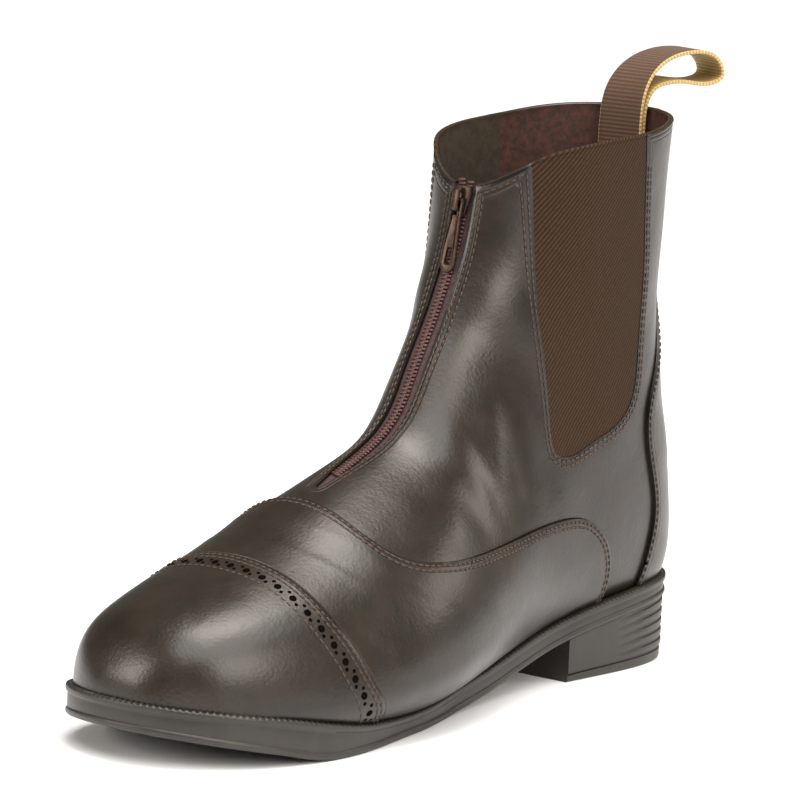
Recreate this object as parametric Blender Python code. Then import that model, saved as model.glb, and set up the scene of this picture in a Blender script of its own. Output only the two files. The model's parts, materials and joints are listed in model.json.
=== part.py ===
"""Zip-front paddock boot: moulded sole, hollow leather upper, elastic gores, front zip and pull loop.

The frame is the boot's own: +X runs to the toe, +Y to the wearer's left, +Z up, and the origin is
the middle of the heel's flat underside. Sizes are millimetres here and become metres on each object.
"""

import bmesh
import bpy
import numpy as np
from mathutils import Matrix

MM = 0.001

# driving sizes
WALL = 2.0
GAP = 0.3
WELT_AT_TOE = 5.0
WELT_AT_HEEL = 4.2
WELT_AT_BACK = 5.4
BREAST_X = 32.0
INSOLE_THICK = 3.0
INSOLE_INSET = 7.0
FLOOR_RISE = 0.55
CAP_THICK = 1.6
VAMP_THICK = 1.2
STAY_THICK = 1.2
GORE_THICK = 1.4
GORE_RECESS = 0.5
LAYER_GAP = 0.42
STAY_LIFT = LAYER_GAP + STAY_THICK
COLUMNS = 10
TRIM = 3.0
SLOT_HALF = 4.5
SLOT_TIP = 1.5
ZIP_START = 10.2
ZIP_FLARE = 1.8
COIL_HALF = 3.0
COIL_SINK = 0.6
TAPE_HALF = 9.0
TAPE_THICK = 0.8
SLIDER_AT = 22.3
LOOP_WIDTH = 19.0
LOOP_THICK = 1.5
HEEL_STACK = 5
RIB_DEPTH = 0.7
SPUR_AT = 20.2
SPUR_HALF_HEIGHT = 0.14
SPUR_TURN = 0.28
SPUR_THICK = 2.4
PULL_LIFT = 2.45
PULL_THICK = 1.2
PULL_BAR = 0.72

# one row per section of the last, from the toe to the collar: where the section's plane meets the
# centre line below (foot) and above (top), its half widths, and how it bulges
SECTION_COLUMNS = (
    "at", "foot_x", "foot_z", "top_x", "top_z", "left", "right", "mid_y", "ridge_y", "wide", "square", "low",
)
SECTIONS = (
    (0.0, 243.0, 21.5, 243.0, 21.5, 0.0, 0.0, -7.0, -7.0, 0.50, 0.00, 0.00),
    (1.3, 241.5, 15.0, 241.5, 29.5, 12.5, 12.5, -7.0, -7.0, 0.26, 0.03, 0.00),
    (2.6, 236.0, 12.0, 236.0, 39.0, 22.0, 23.0, -7.0, -7.0, 0.27, 0.04, 0.00),
    (4.0, 227.0, 8.0, 227.0, 46.5, 31.0, 32.0, -6.0, -7.0, 0.27, 0.04, 0.00),
    (5.4, 213.5, 5.0, 213.5, 52.0, 38.0, 37.5, -4.5, -6.0, 0.28, 0.04, 0.00),
    (6.8, 196.5, 3.0, 196.5, 58.5, 43.5, 41.5, -2.5, -5.0, 0.29, 0.03, 0.00),
    (8.2, 175.5, 1.0, 176.5, 67.5, 48.5, 45.0, -1.0, -4.0, 0.29, 0.01, 0.00),
    (9.5, 153.5, 1.0, 157.0, 78.0, 51.0, 43.5, -0.5, -3.0, 0.29, 0.00, 0.00),
    (10.8, 129.5, 2.0, 133.5, 88.0, 51.0, 39.5, 0.0, -2.0, 0.29, -0.01, 0.00),
    (12.1, 102.5, 5.0, 114.5, 97.5, 47.0, 36.5, 0.0, -1.0, 0.30, -0.02, 0.00),
    (13.4, 72.0, 9.0, 104.5, 108.0, 40.5, 34.5, 0.0, 0.0, 0.32, -0.02, 0.00),
    (14.7, 38.0, 13.0, 98.0, 119.5, 35.5, 33.5, 0.0, 0.0, 0.35, -0.01, 0.00),
    (16.0, 4.0, 15.0, 91.5, 131.0, 34.0, 33.5, 0.0, 0.0, 0.38, 0.00, 0.02),
    (17.2, -29.5, 21.0, 86.0, 141.0, 33.5, 33.5, 0.0, 0.0, 0.42, 0.01, 0.05),
    (18.3, -40.0, 40.0, 81.5, 150.0, 33.5, 33.5, 0.0, 0.0, 0.45, 0.02, 0.05),
    (19.4, -39.5, 64.0, 77.8, 158.5, 33.0, 33.0, 0.0, 0.0, 0.47, 0.02, 0.04),
    (20.6, -34.5, 92.0, 75.0, 167.0, 33.0, 33.0, 0.0, 0.0, 0.48, 0.02, 0.03),
    (21.9, -30.5, 124.0, 72.8, 176.0, 34.0, 34.0, 0.0, 0.0, 0.48, 0.02, 0.02),
    (23.2, -30.0, 161.0, 71.0, 185.0, 35.5, 35.5, 0.0, 0.0, 0.48, 0.02, 0.02),
    (24.6, -31.5, 205.0, 69.5, 194.0, 37.0, 37.0, 0.0, 0.0, 0.48, 0.02, 0.02),
    (26.0, -33.0, 240.0, 68.0, 203.0, 38.0, 38.0, 0.0, 0.0, 0.48, 0.02, 0.02),
)
# heights along the boot: where the upper meets the sole, and the sole's underside ahead of the heel
PROFILE = (
    (-45.0, 34.0, 25.5),
    (-20.0, 32.0, 23.5),
    (0.0, 29.8, 21.3),
    (30.0, 25.4, 16.4),
    (60.0, 19.4, 10.0),
    (90.0, 12.6, 3.2),
    (115.0, 8.6, 0.0),
    (140.0, 8.0, 0.0),
    (165.0, 9.4, 0.0),
    (188.0, 12.6, 0.0),
    (212.0, 17.2, 4.6),
    (235.0, 20.6, 9.4),
    (262.0, 24.0, 15.0),
)


def spline(knots, values, start_slope=None):
    """A smooth curve through the points, as a function of the first coordinate."""
    knots = np.asarray(knots, float)
    values = np.asarray(values, float)
    steps = np.diff(knots)
    slopes = np.diff(values) / steps
    count = len(knots)
    matrix = np.zeros((count, count))
    right = np.zeros(count)
    matrix[0, 0] = 1.0
    matrix[-1, -1] = 1.0
    if start_slope is not None:
        matrix[0, :2] = (2 * steps[0], steps[0])
        right[0] = 6 * (slopes[0] - start_slope)
    for i in range(1, count - 1):
        matrix[i, i - 1:i + 2] = (steps[i - 1], 2 * (steps[i - 1] + steps[i]), steps[i])
        right[i] = 6 * (slopes[i] - slopes[i - 1])
    bend = np.linalg.solve(matrix, right)

    def curve(x):
        x = np.asarray(x, float)
        i = np.clip(np.searchsorted(knots, x, side="right") - 1, 0, count - 2)
        d = x - knots[i]
        h = steps[i]
        first = slopes[i] - h * (2 * bend[i] + bend[i + 1]) / 6
        return values[i] + d * (first + d * (bend[i] / 2 + d * (bend[i + 1] - bend[i]) / (6 * h)))

    return curve


def monotone(knots, values):
    """A smooth curve through the points that never overshoots them."""
    knots = np.asarray(knots, float)
    values = np.asarray(values, float)
    steps = np.diff(knots)
    slopes = np.diff(values) / steps
    ends = np.concatenate([[slopes[0]], slopes, [slopes[-1]]])
    before, after = ends[:-1], ends[1:]
    product = before * after
    tangent = np.where(product > 0, 2 * product / np.where(before + after == 0, 1, before + after), 0.0)

    def curve(x):
        x = np.clip(np.asarray(x, float), knots[0], knots[-1])
        i = np.clip(np.searchsorted(knots, x, side="right") - 1, 0, len(knots) - 2)
        h = steps[i]
        t = (x - knots[i]) / h
        a = (1 + 2 * t) * (1 - t) ** 2 * values[i] + t * (1 - t) ** 2 * h * tangent[i]
        return a + t * t * (3 - 2 * t) * values[i + 1] + t * t * (t - 1) * h * tangent[i + 1]

    return curve


TABLE = np.array(SECTIONS)
STATIONS = TABLE[:, 0]
AT_END = STATIONS[-1]
SECTION_CURVES = {
    name: spline(STATIONS, TABLE[:, k], 0.0 if name in ("foot_x", "top_x") else None)
    for k, name in enumerate(SECTION_COLUMNS)
    if name != "at"
}
HEIGHTS = np.array(PROFILE)
feather_height = monotone(HEIGHTS[:, 0], HEIGHTS[:, 1])
under_height = monotone(HEIGHTS[:, 0], HEIGHTS[:, 2])


def surface(at, turn, side):
    """A point of the upper's outside: turn runs from 0 on the ridge to pi below, side is 1 left, -1 right."""
    row = {name: curve(at) for name, curve in SECTION_CURVES.items()}
    squareness = np.where(turn < np.pi / 2, row["square"], row["low"])
    across = (np.sin(turn) + squareness * np.sin(3 * turn)) / (1 - squareness)
    cosine = (np.cos(turn) - squareness * np.cos(3 * turn)) / (1 - squareness)
    above = row["wide"] + (1 - row["wide"]) * cosine
    below = row["wide"] * (1 + cosine)
    up = np.where(turn < np.pi / 2, above, below)
    half = np.where(side > 0, row["left"], row["right"])
    x = row["foot_x"] + (row["top_x"] - row["foot_x"]) * up
    y = row["mid_y"] + (row["ridge_y"] - row["mid_y"]) * up + side * half * across
    z = row["foot_z"] + (row["top_z"] - row["foot_z"]) * up
    return np.stack(np.broadcast_arrays(x, y, z), -1)


def last_turn(at, side, drop=0.0):
    """How far round a section goes before it meets the sole, or drop below: pi where it closes."""
    at = np.asarray(at, float)
    low = np.full(at.shape, 0.3 * np.pi)
    high = np.full(at.shape, np.pi)
    bottom = surface(at, high, side)
    closed = bottom[..., 2] >= feather_height(bottom[..., 0]) - drop
    for _ in range(40):
        middle = (low + high) / 2
        point = surface(at, middle, side)
        above = point[..., 2] > feather_height(point[..., 0]) - drop
        low = np.where(above, middle, low)
        high = np.where(above, high, middle)
    return np.where(closed, np.pi, low)


# seams in the side view, as (x, z)
COLLAR = ((90.0, 176.0), (74.0, 182.0), (68.0, 188.0), (58.0, 196.0), (46.0, 199.5), (24.0, 202.0),
          (4.0, 203.5), (-15.0, 206.0), (-34.0, 208.0), (-60.0, 209.0))
GORE = ((12.5, 230.0), (11.0, 202.0), (3.5, 150.0), (3.0, 118.0), (6.0, 104.0), (15.0, 96.0),
        (30.0, 90.5), (42.0, 86.5), (50.0, 87.5), (53.5, 100.0), (57.0, 130.0), (60.0, 165.0),
        (61.5, 196.0), (62.0, 230.0))
CAP_EDGE = ((190.0, 80.0), (188.0, 63.0), (185.5, 50.0), (180.0, 38.0), (173.5, 25.0), (163.5, 8.0),
            (160.0, -10.0))
VAMP_TOP = ((152.0, 95.0), (155.0, 80.0), (154.5, 71.0), (148.0, 64.0), (136.0, 60.5), (100.0, 60.0),
            (68.0, 62.5), (48.0, 64.0), (32.0, 61.5), (21.0, 53.0), (15.5, 42.0), (13.0, 20.0))
STAY_EDGE = ((-8.0, 20.0), (-8.5, 34.0), (-11.0, 47.0), (-12.5, 59.0), (-9.5, 71.0), (-5.5, 84.0),
             (-5.0, 98.0), (-11.0, 111.0), (-19.0, 125.0), (-24.5, 145.0), (-27.6, 172.0), (-28.5, 190.0), (-29.0, 207.3))
# the pull loop's middle line, with the turn of its width about the upright axis in degrees
LOOP_COLUMNS = ("x", "y", "z", "turn")
LOOP = (
    (-23.9, 0.0, 184.0, 0.0),
    (-24.1, 0.0, 203.0, 0.0),
    (-25.8, 0.3, 213.0, 2.0),
    (-31.0, 2.0, 221.5, 8.0),
    (-40.0, 5.5, 227.0, 15.0),
    (-50.5, 10.0, 228.5, 20.0),
    (-58.5, 13.5, 225.5, 24.0),
    (-60.5, 14.5, 219.5, 25.0),
    (-54.0, 11.5, 216.5, 22.0),
    (-45.0, 7.5, 217.3, 16.0),
    (-37.5, 4.0, 217.0, 10.0),
    (-30.5, 1.2, 214.2, 4.0),
    (-26.8, 0.1, 207.5, 0.0),
    (-26.2, 0.0, 200.0, 0.0),
    (-26.0, 0.0, 184.0, 0.0),
)


# solids
def smooth_line(points, count):
    """Evenly spaced points of a smooth curve through hand placed ones."""
    points = np.asarray(points, float)
    along = np.concatenate([[0.0], np.cumsum(np.linalg.norm(np.diff(points[:, :3], axis=0), axis=1))])
    at = np.linspace(0.0, along[-1], count)
    return np.stack([spline(along, points[:, k])(at) for k in range(points.shape[1])], -1)


def lifted(at, turn, side, lift):
    """Points of the upper's surface moved out along its normal by lift, which may be negative."""
    at, turn = np.broadcast_arrays(np.asarray(at, float), np.asarray(turn, float))
    step = 0.01
    safe = np.maximum(at, 3 * step)
    along = surface(safe + step, turn, side) - surface(safe - step, turn, side)
    around = surface(safe, turn + step, side) - surface(safe, turn - step, side)
    normal = np.cross(around, along) * side
    length = np.linalg.norm(normal, axis=-1, keepdims=True)
    normal = normal / np.maximum(length, 1e-9)
    normal = np.where((at < 2 * step)[..., None], np.array([1.0, 0.0, 0.0]), normal)
    return surface(at, turn, side) + normal * lift


def closing_station(drop):
    """The station whose section just closes on the back seam."""
    low, high = 15.0, 19.0
    for _ in range(50):
        middle = (low + high) / 2
        bottom = surface(middle, np.pi, 1)
        if bottom[2] < feather_height(bottom[0]) - drop:
            low = middle
        else:
            high = middle
    return high


def stations(drop):
    """Section numbers from the toe to above the collar, close together where the outline turns."""
    closing = closing_station(drop)
    toe = 3.0 * np.linspace(0.0, 1.0, 7) ** 1.3
    middle = np.linspace(3.0, 15.2, 16)[1:]
    heel = closing - (closing - 15.2) * np.linspace(1.0, 0.0, 10)[1:] ** 1.7
    shaft = np.linspace(closing, AT_END, 10)[1:]
    return np.concatenate([toe, middle, heel, shaft])


def add_object(name, build, material=None):
    """A mesh object made by a function that fills a bmesh in millimetres."""
    mesh = bpy.data.meshes.new(name)
    bm = bmesh.new()
    build(bm)
    bmesh.ops.recalc_face_normals(bm, faces=bm.faces)
    if bm.calc_volume(signed=True) < 0.0:
        bmesh.ops.reverse_faces(bm, faces=bm.faces)
    bmesh.ops.scale(bm, vec=(MM, MM, MM), verts=bm.verts)
    bm.to_mesh(mesh)
    bm.free()
    mesh.shade_smooth()
    mesh.set_sharp_from_angle(angle=np.radians(40.0))
    body = bpy.data.objects.new(name, mesh)
    bpy.context.collection.objects.link(body)
    if material is None:
        body.hide_render = True
        body.display_type = "WIRE"
    else:
        mesh.materials.append(material)
    return body


def add_boolean(body, operation, other, solver="EXACT"):
    """Cuts, joins or crosses a body with another one."""
    modifier = body.modifiers.new(other.name, "BOOLEAN")
    modifier.operation = operation
    modifier.solver = solver
    modifier.object = other


def add_face(bm, verts):
    """Triangles over four corners, split the same way each time and left out where corners meet."""
    for corners in ((0, 1, 2), (0, 2, 3)):
        kept = {verts[k] for k in corners}
        if len(kept) == 3:
            bm.faces.new([verts[k] for k in corners])


def shell_rows(bm, rows, lift):
    """Rows of vertices of the upper's surface at one lift, and which of them close below."""
    grid = []
    closed = []
    for at in rows:
        turns = {side: float(last_turn(at, side, TRIM)) for side in (-1, 1)}
        shut = at == 0.0 or min(turns.values()) > np.pi - 1e-6
        row = []
        for k in range(-COLUMNS, COLUMNS + 1):
            side = -1 if k < 0 else 1
            row.append(lifted(at, turns[side] * abs(k) / COLUMNS, side, lift))
        if at == 0.0:
            grid.append([bm.verts.new(row[0])] * len(row))
        else:
            verts = [bm.verts.new(point) for point in row[:-1]]
            verts.append(verts[0] if shut else bm.verts.new(row[-1]))
            grid.append(verts)
        closed.append(shut)
    return grid, closed


def fill_shell(bm, outer_lift, inner_lift):
    """A wall between two lifts of the upper's surface, open below the foot and at the top."""
    rows = stations(TRIM)
    outer, closed = shell_rows(bm, rows, outer_lift)
    inner, closed = shell_rows(bm, rows, inner_lift)
    for i in range(len(rows) - 1):
        for j in range(2 * COLUMNS):
            for grid in (outer, inner):
                near, far = (j, j + 1) if j < COLUMNS else (j + 1, j)
                add_face(bm, (grid[i][near], grid[i][far], grid[i + 1][far], grid[i + 1][near]))
        if not (closed[i] and closed[i + 1]):
            for j in (0, -1):
                add_face(bm, (outer[i][j], outer[i + 1][j], inner[i + 1][j], inner[i][j]))
    for j in range(2 * COLUMNS):
        add_face(bm, (outer[-1][j], outer[-1][j + 1], inner[-1][j + 1], inner[-1][j]))


def fill_prism(bm, outline, y_low, y_high):
    """A side view outline stretched across the boot."""
    ends = [[bm.verts.new((x, y, z)) for x, z in outline] for y in (y_low, y_high)]
    for end in ends:
        bm.faces.new(end)
    for k in range(len(outline)):
        after = (k + 1) % len(outline)
        bm.faces.new((ends[0][k], ends[0][after], ends[1][after], ends[1][k]))


def add_prism(name, outline, y_low=-80.0, y_high=80.0):
    """A hidden cutter with the given side view outline."""
    return add_object(name, lambda bm: fill_prism(bm, outline, y_low, y_high))


def moved_line(points, across):
    """A side view line moved sideways, to its right as it runs."""
    way = np.gradient(points, axis=0)
    way = way / np.linalg.norm(way, axis=1, keepdims=True)
    return points + across * np.stack([way[:, 1], -way[:, 0]], -1)


def add_floor_cutter():
    """Everything below the line where the upper stops, just above the sole."""
    x = np.linspace(-70.0, 262.0, 60)
    line = [(a, float(feather_height(a)) + FLOOR_RISE) for a in x]
    return add_prism("floor_cutter", line + [(262.0, -40.0), (-70.0, -40.0)])


def add_rim_cutter():
    """Everything above the collar line."""
    line = [tuple(point) for point in smooth_line(COLLAR, 40)]
    return add_prism("rim_cutter", line + [(-60.0, 260.0), (90.0, 260.0)])


def fill_strip(bm, rows, half_widths, low, high, columns):
    """A strip that follows the ridge's curve across, between two lifts."""
    grids = []
    for lift in (low, high):
        grid = []
        for at, half in zip(rows, half_widths):
            line = []
            for share in np.linspace(-1.0, 1.0, 2 * columns + 1):
                side = -1 if share < 0 else 1
                reach = SECTION_CURVES["left" if side > 0 else "right"](at)
                line.append(bm.verts.new(lifted(at, np.arcsin(half * abs(share) / reach), side, lift)))
            grid.append(line)
        grids.append(grid)
    low_grid, high_grid = grids
    for i in range(len(rows) - 1):
        for j in range(2 * columns):
            for grid in grids:
                add_face(bm, (grid[i][j], grid[i][j + 1], grid[i + 1][j + 1], grid[i + 1][j]))
        for j in (0, -1):
            add_face(bm, (low_grid[i][j], low_grid[i + 1][j], high_grid[i + 1][j], high_grid[i][j]))
    for i in (0, -1):
        for j in range(2 * columns):
            add_face(bm, (low_grid[i][j], low_grid[i][j + 1], high_grid[i][j + 1], high_grid[i][j]))


def fill_ribbon(bm, rows, half_widths, low, high):
    """A flat strip along the ridge, between two lifts, with a half width for each row."""
    grid = []
    for at, half in zip(rows, half_widths):
        ridge = {lift: lifted(at, 0.0, 1, lift) for lift in (low, high)}
        places = ((low, -half), (low, half), (high, half), (high, -half))
        grid.append([bm.verts.new(ridge[lift] + np.array([0.0, y, 0.0])) for lift, y in places])
    for i in range(len(grid) - 1):
        for j in range(4):
            after = (j + 1) % 4
            bm.faces.new((grid[i][j], grid[i][after], grid[i + 1][after], grid[i + 1][j]))
    bm.faces.new(grid[0])
    bm.faces.new(grid[-1])


def add_slot_cutter():
    """The zip's opening: narrow at its foot, then as wide as its slider needs."""
    rows = np.linspace(ZIP_START, AT_END, 40)
    share = np.clip((rows - ZIP_START) / ZIP_FLARE, 0.0, 1.0)
    halves = SLOT_TIP + (SLOT_HALF - SLOT_TIP) * np.sin(share * np.pi / 2)
    return add_object("slot_cutter", lambda bm: fill_ribbon(bm, rows, halves, -8.0, 8.0))


def add_upper(cutters, leather):
    """The hollow upper: one wall over the whole last, cut for collar, gores, zip and sole."""
    upper = add_object("upper", lambda bm: fill_shell(bm, 0.0, -WALL), leather)
    for name in ("floor", "rim", "gore_left", "gore_right", "slot"):
        add_boolean(upper, "DIFFERENCE", cutters[name])


def add_gore(name, y_low, y_high, cutters, elastic):
    """An elastic panel that fills its cut in the upper, a little below the leather."""
    low = -GORE_RECESS - GORE_THICK
    gore = add_object(name, lambda bm: fill_shell(bm, -GORE_RECESS, low), elastic)
    outline = moved_line(smooth_line(GORE, 60), -GAP)
    add_boolean(gore, "INTERSECT", add_prism(name + "_outline", outline, y_low, y_high))
    add_boolean(gore, "DIFFERENCE", cutters["rim"])


def add_overlay(name, thick, outline, cutters, leather, solver="EXACT"):
    """A second layer of leather on the upper, with the given side view outline."""
    layer = add_object(name, lambda bm: fill_shell(bm, LAYER_GAP + thick, LAYER_GAP), leather)
    add_boolean(layer, "INTERSECT", add_prism(name + "_outline", outline, -70.0, 70.0), solver)
    add_boolean(layer, "DIFFERENCE", cutters["floor"], solver)


def cap_outline():
    """The toe cap: all that lies ahead of its edge."""
    return [tuple(point) for point in smooth_line(CAP_EDGE, 24)] + [(300.0, -10.0), (300.0, 80.0)]


def vamp_outline():
    """The vamp: from the toe cap's edge back to its own curved seam on the quarters."""
    back = smooth_line(VAMP_TOP, 48)
    front = moved_line(smooth_line(CAP_EDGE, 24), GAP)
    return [tuple(point) for point in back] + [(13.0, -10.0)] + [tuple(point) for point in front[::-1]]


def stay_outline():
    """The backstay: all that lies behind its edge."""
    collar = [point for point in smooth_line(COLLAR, 40) if point[0] < -31.0]
    return [tuple(point) for point in [*smooth_line(STAY_EDGE, 40), *collar]] + [(-90.0, 209.5), (-90.0, 20.0)]


def fill_spur_rest(bm):
    """A small pad on the backstay that a spur's strap rests on."""
    rows = SPUR_AT + SPUR_HALF_HEIGHT * np.array([-1.0, -0.55, 0.0, 0.55, 1.0])
    swell = np.array([0.25, 0.85, 1.0, 0.85, 0.25])
    places = np.linspace(-1.0, 1.0, 9)
    outer = []
    inner = []
    for at, rise in zip(rows, swell):
        for grid, base, height in ((outer, STAY_LIFT + GAP, SPUR_THICK), (inner, STAY_LIFT + GAP, 0.0)):
            line = []
            for place in places:
                side = -1 if place < 0 else 1
                lift = base + height * rise * (1.0 - 0.7 * abs(place) ** 4)
                line.append(bm.verts.new(lifted(at, np.pi - SPUR_TURN * abs(place), side, lift)))
            grid.append(line)
    for i in range(len(rows) - 1):
        for j in range(len(places) - 1):
            for grid in (outer, inner):
                bm.faces.new((grid[i][j], grid[i][j + 1], grid[i + 1][j + 1], grid[i + 1][j]))
        for j in (0, -1):
            bm.faces.new((outer[i][j], outer[i + 1][j], inner[i + 1][j], inner[i][j]))
    for i in (0, -1):
        for j in range(len(places) - 1):
            bm.faces.new((outer[i][j], outer[i][j + 1], inner[i][j + 1], inner[i][j]))


def feather_outline(rows, margin):
    """Plan points of the line where upper and sole meet, moved out by margin(x): left, then right."""
    lines = []
    for side in (1, -1):
        lines.append([surface(at, last_turn(at, side), side) for at in rows])
    loop = np.array(lines[0] + lines[1][-2:0:-1])[:, :2]
    way = np.roll(loop, -1, axis=0) - np.roll(loop, 1, axis=0)
    out = np.stack([way[:, 1], -way[:, 0]], -1)
    out = out / np.linalg.norm(out, axis=1, keepdims=True)
    loop = loop + out * np.array([[margin(x)] for x in loop[:, 0]])
    count = len(rows)
    left = loop[:count]
    right = np.concatenate([loop[:1], loop[:count - 2:-1]])
    return left, right


def welt_margin(x):
    """How far the sole stands out past the upper."""
    places = (-38.0, -20.0, 40.0, 110.0)
    return np.interp(x, places, (WELT_AT_BACK, WELT_AT_HEEL, WELT_AT_HEEL, WELT_AT_TOE))


def fill_rings(bm, rings):
    """A closed stack of rings, each a left and a right line, with ladder caps on the end rings."""
    grid = []
    for left, right in rings:
        first = bm.verts.new(left[0])
        last = bm.verts.new(left[-1])
        lines = []
        for line in (left, right):
            lines.append([first] + [bm.verts.new(point) for point in line[1:-1]] + [last])
        grid.append(lines)
    for upper, lower in zip(grid[:-1], grid[1:]):
        for side in (0, 1):
            for k in range(len(upper[side]) - 1):
                bm.faces.new((upper[side][k], upper[side][k + 1], lower[side][k + 1], lower[side][k]))
    for left, right in (grid[0], grid[-1]):
        for k in range(len(left) - 1):
            add_face(bm, (left[k], left[k + 1], right[k + 1], right[k]))


def with_heights(line, height):
    return [(x, y, float(height(x))) for x, y in line]


def fill_sole(bm):
    """The moulded sole without its heel: welt ledge, side, lip and underside."""
    rows = stations(0.0)
    rows = rows[rows <= closing_station(0.0) + 1e-9]
    steps = (
        (0.4, lambda x: feather_height(x)),
        (0.0, lambda x: feather_height(x) - 0.5),
        (0.0, lambda x: feather_height(x) - 2.4),
        (0.9, lambda x: feather_height(x) - 3.0),
        (0.9, lambda x: under_height(x) + 2.6),
        (0.3, lambda x: under_height(x) + 2.0),
        (0.6, lambda x: under_height(x) + 0.6),
        (1.4, lambda x: under_height(x)),
    )
    rings = []
    for inset, height in steps:
        left, right = feather_outline(rows, lambda x: welt_margin(x) - inset)
        rings.append((with_heights(left, height), with_heights(right, height)))
    fill_rings(bm, rings)


def behind_breast(line):
    """The part of a plan line behind the heel's front face, with a point on that face."""
    cut = next(k for k in range(len(line)) if line[k][0] < BREAST_X)
    share = (line[cut - 1][0] - BREAST_X) / (line[cut - 1][0] - line[cut][0])
    start = line[cut - 1] + (line[cut] - line[cut - 1]) * share
    return np.concatenate([[start], line[cut:]])


def fill_heel(bm):
    """The heel block: flat breast, flat top piece, and stack ribs that fade out forwards."""
    rows = stations(0.0)
    rows = rows[rows <= closing_station(0.0) + 1e-9]
    levels = [(0.0, 0.8), (0.04, 0.2), (0.14, 0.0), (0.18, 0.5)]
    for k in range(HEEL_STACK):
        start = 0.2 + 0.8 * k / HEEL_STACK
        levels += [(start + 0.02, RIB_DEPTH), (start + 0.07, 0.0), (start + 0.13, 0.0)]
    levels += [(1.0, 0.6), (1.1, 0.9)]
    grid = []
    for share, inset in levels:
        def margin(x, inset=inset):
            fade = np.clip((5.0 - x) / 25.0, 0.0, 1.0)
            return welt_margin(x) - 1.0 - (inset * fade if inset <= RIB_DEPTH and share > 0.18 else inset)
        left, right = feather_outline(rows, margin)
        left = behind_breast(left)
        right = behind_breast(right)
        loop = np.concatenate([left, right[-2::-1]])
        grid.append([bm.verts.new((x, y, float(under_height(x)) * share)) for x, y in loop])
    half = (len(grid[0]) - 1) // 2
    for lower, higher in zip(grid[:-1], grid[1:]):
        for k in range(len(lower) - 1):
            bm.faces.new((lower[k], lower[k + 1], higher[k + 1], higher[k]))
    bm.faces.new(grid[0])
    for k in range(half):
        add_face(bm, (grid[-1][k], grid[-1][k + 1], grid[-1][-2 - k], grid[-1][-1 - k]))
    bm.faces.new([row[0] for row in grid] + [row[-1] for row in reversed(grid)])


def add_sole(rubber):
    """One moulded piece: the sole with its heel."""
    sole = add_object("sole", fill_sole, rubber)
    heel = add_object("heel_block", fill_heel)
    add_boolean(sole, "UNION", heel)


def fill_insole(bm):
    """A slab inside the upper, on the sole."""
    rows = stations(0.0)
    rows = rows[rows <= closing_station(0.0) + 1e-9]
    left, right = feather_outline(rows[1:], lambda x: -INSOLE_INSET)
    rings = []
    for rise in (GAP + INSOLE_THICK, GAP):
        height = lambda x: feather_height(x) + rise
        rings.append((with_heights(left, height), with_heights(right, height)))
    fill_rings(bm, rings)


def zip_frame():
    """Where the slider sits: its place on the ridge, the way up the zip and the way out."""
    place = surface(SLIDER_AT, 0.0, 1)
    up = surface(SLIDER_AT + 0.05, 0.0, 1) - surface(SLIDER_AT - 0.05, 0.0, 1)
    up = np.array([up[0], 0.0, up[2]])
    up = up / np.linalg.norm(up)
    return place, up, np.cross([0.0, 1.0, 0.0], up)


def fill_block(bm, outline, low, high, plane):
    """An outline stretched between two levels: across the zip, or out from it."""
    place, up, out = zip_frame()
    across = np.array([0.0, 1.0, 0.0])
    second, third = (out, across) if plane == "side" else (across, out)
    ends = []
    for level in (low, high):
        points = [place + up * u + second * v + third * level for u, v in outline]
        ends.append([bm.verts.new(point) for point in points])
    for end in ends:
        bm.faces.new(end)
    for k in range(len(outline)):
        after = (k + 1) % len(outline)
        bm.faces.new((ends[0][k], ends[0][after], ends[1][after], ends[1][k]))


def add_slider(metal):
    """The zip's slider: a shield shaped body with an open bridge over it."""
    shield = ((-5.5, -2.6), (-5.5, 2.6), (-1.0, 3.4), (3.0, 4.1), (5.5, 3.6), (5.5, -3.6), (3.0, -4.1), (-1.0, -3.4))
    bridge = ((-4.5, 1.0), (-4.5, 3.0), (-3.4, 4.5), (3.4, 4.5), (4.5, 3.0), (4.5, 1.0), (2.9, 1.0), (2.9, 2.7),
              (2.3, 3.4), (-2.3, 3.4), (-2.9, 2.7), (-2.9, 1.0))
    slider = add_object("zip_slider", lambda bm: fill_block(bm, shield, -COIL_SINK + GAP, 1.5, "flat"), metal)
    arch = add_object("slider_bridge", lambda bm: fill_block(bm, bridge, -1.1, 1.1, "side"))
    add_boolean(slider, "UNION", arch)


def fill_bar(bm, centre):
    """A round bar across the zip."""
    turn = Matrix.Translation(centre) @ Matrix.Rotation(np.pi / 2, 4, "X")
    bmesh.ops.create_cone(bm, cap_ends=True, segments=32, radius1=PULL_BAR, radius2=PULL_BAR, depth=5.0, matrix=turn)


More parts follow.
